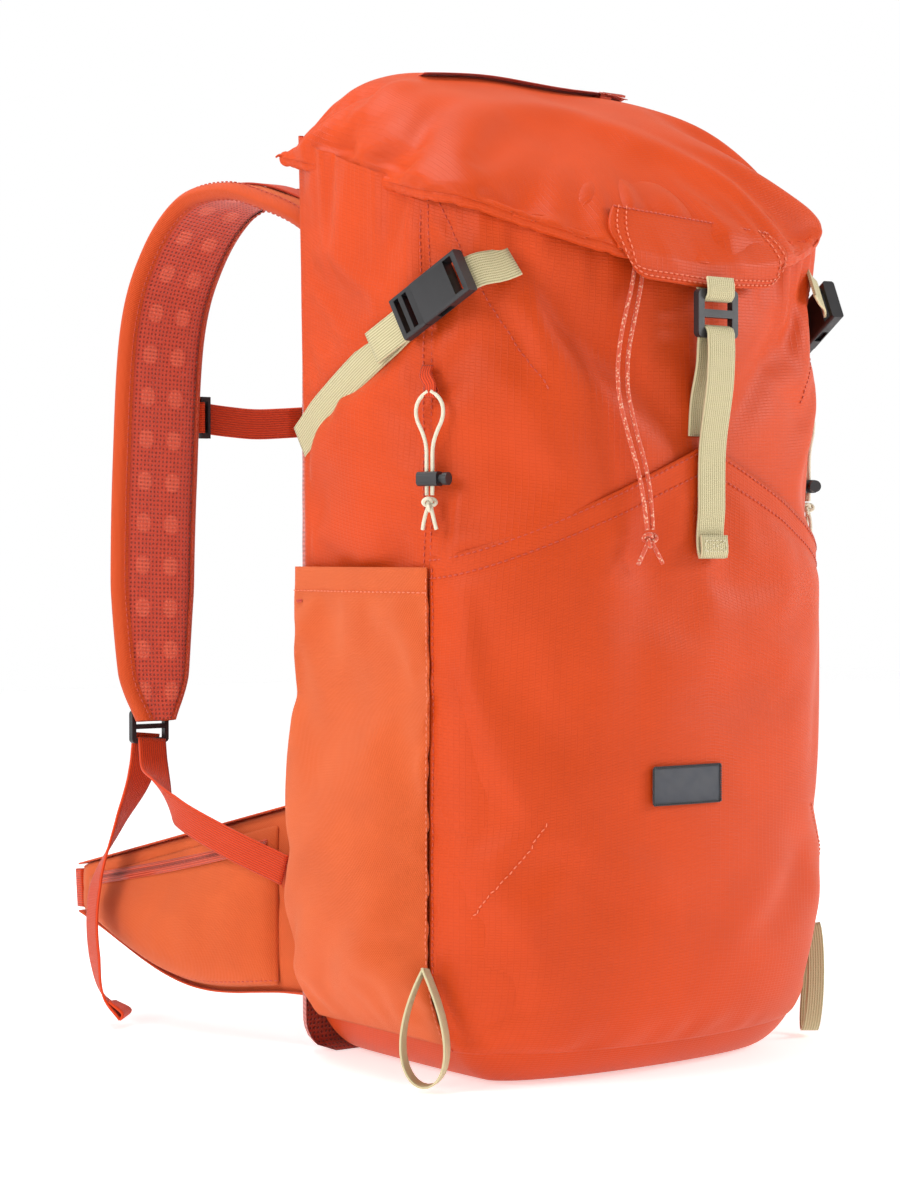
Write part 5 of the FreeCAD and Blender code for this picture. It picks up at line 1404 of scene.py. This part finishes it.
# --------------------------------------------------------- shoulder straps
# Each shoulder strap is 10 mm foam between spacer mesh and twill, curved in
# an S over the shoulder and bound along both edges with folded tape.
STRAP_HALF, STRAP_THICK, BINDING_OUTER, BINDING_INNER = 0.031, 0.010, 0.0100, 0.0062
# Painted light: the strap's spacer mesh is the back panel's mesh painted paler, to stand in for
# light on the strap's shaded inner face.
strap_mesh_painted_light = spacer_mesh("rust_strap_mesh_painted_light", linear("D0482C"), linear("962E14"), 21.0,
                         linear("E8694A"))
binding_tape = nylon_webbing("orange_binding_tape", linear("E0551F"), linear("B8400F"), 1.1, 0.8)
strap_line = [(118.4, 476), (119.9, 487), (130.4, 503), (152.4, 515), (184.4, 524),
              (219.4, 518), (247, 488), (262, 440), (263, 349.5), (260, 277), (255, 221),
              (251, 193)]
strap_widths = (0.9, 0.9, 0.92, 0.95, 1, 1, 1, 1, 1, 0.98, 0.82, 0.45)


def strap_frames(side, count):
    """Centre, across, face direction and width along a shoulder strap."""
    marks = np.arange(12)
    fine = np.linspace(0, 11, count)
    ys = np.array([p[0] for p in strap_line]) / 1000
    zs = np.array([p[1] for p in strap_line]) / 1000

    def smooth(values, t):
        i = min(int(t), 10)
        s = t - i
        before, after = values[max(i - 1, 0)], values[min(i + 2, 11)]
        a, b = values[i], values[i + 1]
        m, n = (b - before) / (2 if i > 0 else 1), (after - a) / (2 if i < 10 else 1)
        return ((2 * s**3 - 3 * s**2 + 1) * a + (s**3 - 2 * s**2 + s) * m
                + (3 * s**2 - 2 * s**3) * b + (s**3 - s**2) * n)

    centres = np.array([[side * (0.075 + 0.075 * math.sin(math.pi / 2 * t / 11)),
                         smooth(ys, t), smooth(zs, t)] for t in fine])
    along = np.gradient(centres, axis=0)
    along /= np.linalg.norm(along, axis=1, keepdims=True)
    across = np.tile([1.0, 0, 0], (count, 1))
    across -= along * (across * along).sum(1, keepdims=True)
    across /= np.linalg.norm(across, axis=1, keepdims=True)
    face = np.cross(along, across)
    widths = STRAP_HALF * np.interp(fine, marks, strap_widths)
    return centres, across, face, widths, fine


for side, word in SIDES:
    centres, across, face, widths, fine = strap_frames(side, 130)
    section = []
    for k in range(23):
        s = -1 + 2 * k / 22
        section.append((s, 0.5 * (1 - abs(s) ** 6) ** 0.5))
    section += [(-s, -h) for s, h in section[1:]]
    rows = []
    for i in range(len(fine)):
        row = []
        for s, h in section:
            dimple = 0.0008 * math.exp(-(s / 0.25) ** 2) * (0.6 + 0.4 * math.sin(fine[i] * 8))
            inner = 1 - 0.10 * math.exp(-((abs(s) - 0.80) / 0.06) ** 2)
            row.append(centres[i] + across[i] * (widths[i] * 0.97 * s)
                       + face[i] * (STRAP_THICK * h * inner - math.copysign(dimple, h)))
        rows.append(row)
    pad = skin(f"shoulder_pad_{word}", rows, strap_mesh_painted_light)
    pad.data.materials.append(twill)
    inner_first = face[60][1] < 0
    for polygon in pad.data.polygons:
        first = polygon.index % 44 < 22
        polygon.material_index = 0 if first == inner_first else 1
    flat = np.zeros((len(rows), len(section), 3))
    flat[..., 0] = np.array([s for s, h in section])[None, :] * widths[:, None] * 1000
    run = np.concatenate([[0], np.cumsum(np.linalg.norm(np.diff(centres, axis=0), axis=1))])
    flat[..., 1] = run[:, None] * 1000
    lay_flat(pad.data, flat)
    sewn_on(pad, f"shoulder_{word}", "foam_mesh", f"shoulder_strap_{word}")
    for edge, tag in ((-1, "a"), (1, "b")):
        reach = BINDING_OUTER if edge * side > 0 else BINDING_INNER
        rows = []
        for k in range(13):
            turn = -1 + k / 6
            deep = reach * abs(turn) ** 1.2
            lift = math.copysign(min(1.0, abs(turn) * 2.2) ** 0.5, turn) if turn else 0.0
            row = []
            for i in range(len(fine)):
                inside = widths[i] - deep
                share = min(1.0, max(0.0, inside / widths[i]))
                half = STRAP_THICK * 0.5 * (1 - share**6) ** 0.5 + 0.0007
                row.append(centres[i] + across[i] * edge * (inside + 0.0006)
                           + face[i] * half * lift)
            rows.append(row)
        tape = skin(f"shoulder_binding_{word}_{tag}", rows, binding_tape, flip=edge > 0)
        smoother(tape)
        sewn_on(tape, f"shoulder_{word}", "ripstop")
        tape_points = grid_of(tape)
        lines = [tape_points[1] * 0.75 + tape_points[2] * 0.25 + face * -0.0004,
                 tape_points[11] * 0.75 + tape_points[10] * 0.25 + face * 0.0004]
        stitches(f"shoulder_stitches_{word}_{tag}", lines, red_thread, f"shoulder_{word}",
                 "ripstop")
    tacks = []
    for i in (22, 38, 54, 70, 86, 102):
        stand = face[i] * math.copysign(STRAP_THICK / 2 + 0.0008, face[i][1])
        for shift in (-0.04, 0.04):
            spot = centres[i] + across[i] * widths[i] * shift + stand
            tacks.append([spot + across[i] * 0.010, spot - across[i] * 0.010])
    web_line = [(centres[i] + face[i] * math.copysign(STRAP_THICK / 2 + 0.0012, face[60][1]),
                 across[i]) for i in range(10, 122, 8)]
    web_strap(f"shoulder_daisy_webbing_{word}", web_line, red_webbing, "red_webbing",
              width=0.015, thick=0.0014, body=f"shoulder_{word}")
    stitches(f"daisy_bar_tacks_{word}", tacks, red_thread, f"shoulder_{word}", "red_webbing",
             long=0.0012, gap=0.0, thick=0.0007)

# ---------------------------------------------------------- strap webbing
# Red nylon webbing, 20 mm wide, runs from each lower corner to the ladder
# lock, turns over its bar and hangs as a tail with a folded, sewn end.
X = Vector((1, 0, 0))
lower_web = [((-150, 256, 181.5), (1, 0, 0)), ((-152, 250, 165), (1, 0, 0)),
             ((-161, 226, 152), (0.8, 0.2, -0.6)), ((-170, 194, 141), (0.2, 0.3, -0.95)),
             ((-161, 156, 126), (0.05, 0.35, -0.95)),
             ((-140.4, 117, 109), (0.05, 0.35, -0.95))]
tail_web = [((-150, 263.2, 184.5), (1, 0, 0)), ((-153, 265.2, 158.5), (1, 0.1, 0)),
            ((-167, 267.2, 128.5), (0.75, 0.65, 0)), ((-186, 266.2, 86.5), (0.2, 1, 0)),
            ((-188, 263.2, 44), (0.2, 1, 0)), ((-185, 256.2, 19), (0.45, 0.9, 0)),
            ((-176, 247.2, 6.5), (0.75, 0.65, 0))]


def sided(side, stations, scale=0.001):
    """Stations written for the left side, in millimetres, for either side."""
    turned = []
    for place, turn in stations:
        turned.append((Vector((place[0] * -side, place[1], place[2])) * scale,
                       Vector((turn[0], turn[1] * -side, turn[2] * -side))))
    return turned


for side, word in SIDES:
    web_strap(f"lower_webbing_{word}", sided(side, lower_web), red_webbing, "red_webbing",
              nodes=[f"strap_webbing_{word}"])
    tail, spots, turn, rise = web_strap(f"webbing_tail_{word}", sided(side, tail_web),
                                        red_webbing, "red_webbing",
                                        body=f"shoulder_{word}", nodes=[f"strap_tail_{word}"])
    end, before = spots[-1], spots[-5]
    fold = [(end, turn[-1]), (end + rise[-1] * 0.0022, turn[-1]),
            (before + rise[-5] * 0.0020, turn[-5])]
    web_strap(f"webbing_tail_fold_{word}", fold, red_webbing, "red_webbing",
              body=f"shoulder_{word}", step=0.0015)
    ladder = [(Vector((side * 0.150, 0.2560, 0.1990)), X),
              (Vector((side * 0.150, 0.2575, 0.2040)), X),
              (Vector((side * 0.150, 0.2590, 0.2150)), X)]
    web_strap(f"ladder_keeper_{word}", ladder, red_webbing, "red_webbing",
              body=f"shoulder_{word}")

# ------------------------------------------------------------- sternum strap
# A 20 mm strap on each side runs from its clip to one half of the buckle.
for side, word in SIDES:
    reach = 0.0221 if side < 0 else 0.0217
    path = [(Vector((side * 0.1060, 0.2674, 0.388)), Vector((0, 0, 1))),
            (Vector((side * 0.085, 0.2679, 0.3862)), Vector((0, 0, 1))),
            (Vector((side * 0.063, 0.2684, 0.3852)), Vector((0, 0, 1))),
            (Vector((side * 0.042, 0.2687, 0.3864)), Vector((0, 0, 1))),
            (Vector((side * reach, 0.2689, 0.388)), Vector((0, 0, 1)))]
    web_strap(f"sternum_web_{word}", path, red_webbing, "red_webbing",
              body=f"shoulder_{word}", nodes=[f"sternum_webbing_{word}"])
    loop = [(Vector((side * 0.1055, 0.2676, 0.388)), Vector((0, 0, 1))),
            (Vector((side * 0.1100, 0.2665, 0.388)), Vector((0, 0, 1))),
            (Vector((side * 0.1105, 0.2625, 0.388)), Vector((0, 0, 1))),
            (Vector((side * 0.1070, 0.2608, 0.388)), Vector((0, 0, 1)))]
    web_strap(f"sternum_fold_{word}", loop, red_webbing, "red_webbing",
              body=f"shoulder_{word}", step=0.0012)

# ----------------------------------------------------------------- hip belt
# Padded wings, mesh inside and twill outside, wrap the hips.  Each carries a
# stretch pocket with a coil zip along its top edge, and 25 mm belt webbing.
WING_THICK, BELT = 0.012, 0.025


def wing_edges(s):
    """The wing's lower and upper edge at a share of its length."""
    return 0.034 + 0.032 * s**2.2 - 0.012 * math.sin(math.pi * s) ** 2, 0.150 - 0.054 * s


def wing_place(side, s, rise, stand):
    """A place on a wing: s from the bag to the tip, rise from low to top."""
    low, top = wing_edges(s)
    x, y = -0.124 - 0.040 * s, 0.11457 + 0.205 * s
    return Vector((-side * (x - 0.981 * stand), y - 0.192 * stand, low + (top - low) * rise))


for side, word in SIDES:
    rows = []
    for k in range(61):
        s = k / 60
        tip = min(1.0, (1 - s) / 0.05) ** 0.5
        row = []
        for j in range(41):
            rise = j / 20 if j < 21 else 2 - j / 20
            half = WING_THICK / 2 * (1 - abs(2 * rise - 1) ** 5) ** 0.5 * tip
            groove = 1 - 0.14 * math.exp(-((rise - 0.5) / 0.05) ** 2)
            row.append(wing_place(side, s, 0.5 + (rise - 0.5) * (0.90 + 0.10 * tip),
                                  half * groove if j < 21 else -half))
        rows.append(row)
    wing = skin(f"hip_wing_pad_{word}", rows, twill, flip=side < 0)
    wing.data.materials.append(strap_mesh_painted_light)
    for polygon in wing.data.polygons:
        polygon.material_index = 0 if polygon.index % 40 < 20 else 1
    sewn_on(wing, f"wing_{word}", "foam_mesh", f"hip_wing_{word}")
    edge = [tuple(wing_place(side, k / 60, 1.0, 0.0) + Vector((0, 0, 0.0004)))
            for k in range(61)]
    low_edge = [tuple(wing_place(side, k / 60, 0.0, 0.0) - Vector((0, 0, 0.0004)))
                for k in range(61)]
    for line, tag in ((edge, "top"), (low_edge, "low")):
        path = [(Vector(p), Vector((side * 0.981, -0.192, 0))) for p in line[::6]]
        web_strap(f"hip_binding_{word}_{tag}", path, binding_tape, "ripstop", width=0.0095,
                  thick=0.0010, body=f"wing_{word}")
    rows = []
    for k in range(33):
        rise = k / 32
        row = []
        for j in range(49):
            share = j / 48
            s = 0.10 + 0.84 * share
            low, top = wing_edges(s)
            band = (top - 0.010 - low - 0.004) * rise + low + 0.004
            up = (band - low) / (top - low)
            puff = math.sin(math.pi * rise**0.7) ** 0.8 * math.sin(math.pi * share) ** 0.5
            sag = 0.0012 * noise.noise(Vector((share * 7, rise * 3, 9 + side)))
            row.append(wing_place(side, s, up, 0.0055 + 0.0175 * puff + sag * puff))
        rows.append(row)
    pouch = skin(f"hip_pouch_{word}", rows, twill, flip=side > 0, thick=0.0008)
    smoother(pouch)
    sewn_on(pouch, f"wing_{word}", "stretch_twill", f"hip_pocket_{word}")
    pouch_points = grid_of(pouch)
    lift = np.array([side * 0.981, -0.192, 0.0]) * 0.0008
    zip_line = [on_grid(pouch_points, 0.04 + 0.92 * k / 40, 0.90, 0.0) + lift
                for k in range(41)]
    normal = np.array([side * 0.80, -0.16, 0.58])
    zip_on(f"hip_zip_{word}", zip_line, [normal] * 41, f"wing_{word}", "zip_tape",
           half=0.0048)
    rim = [on_grid(pouch_points, k / 60, 0.03, 0.0) + lift for k in range(61)]
    stitches(f"hip_pouch_stitches_{word}", [rim], red_thread, f"wing_{word}",
             "stretch_twill")
    path = [((-164, 320.6, 80), (0, 0.15, 1)), ((-161.5, 332.6, 79), (0, 0.1, 1)),
            ((-141, 342.6, 77), (0, 0, 1)), ((-82, 344.6, 76), (0, 0, 1)),
            ((-22, 344.6, 80), (0, 0, 1))]
    path = [(Vector((p[0] * -side, p[1], p[2])) / 1000, Vector(t)) for p, t in path]
    web_strap(f"hip_belt_web_{word}", path, red_webbing, "red_webbing", width=BELT,
              body=f"belt_{word}", nodes=[f"hip_webbing_{word}"])

# ------------------------------------------------------------ zip sliders
# The sliders are die-cast zinc, lacquered to match the cloth, and worn bright
# in scattered patches.
slider_metal, tree = new_material("lacquered_die_cast_zinc")
cast = add(tree, "TexNoise", {}, {"Vector": object_place(tree), "Scale": 1.2, "Detail": 3.0})[0]
worn = add(tree, "MapRange", {}, {"Value": cast, "From Min": 0.55, "From Max": 0.7,
                                  "To Max": 0.4})[0]
tone = add(tree, "Mix", {"data_type": "RGBA"}, {0: worn, 6: linear("A8341A"),
                                                7: linear("C98A6A")})[2]
rough = add(tree, "MapRange", {}, {"Value": cast, "To Min": 0.28, "To Max": 0.45})[0]
finish_surface(tree, tone, rough, (cast, 0.0001), {"Metallic": 0.4})
for node in ("lid_zip_slider", "hip_zip_slider_left", "hip_zip_slider_right"):
    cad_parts[node].material_slots[0].material = slider_metal

# --------------------------------------------------------------- haul loop
# The haul loop is a bound rope handle sewn in at the top of the back.
haul_webbing = nylon_webbing("dark_red_haul_rope", linear("8E2C18"), linear("6A1E10"), 1.2, 0.9)
path = []
for k in range(17):
    t = math.pi * k / 16
    path.append((Vector((-0.036 * math.cos(t), 0.1163, 0.525 + 0.0545 * math.sin(t) ** 0.8)),
                 Vector((0, 1, 0))))
web_strap("haul_loop_rope", path, haul_webbing, "rope", width=0.005, thick=0.004,
          body="haul_loop", nodes=["haul_loop"])
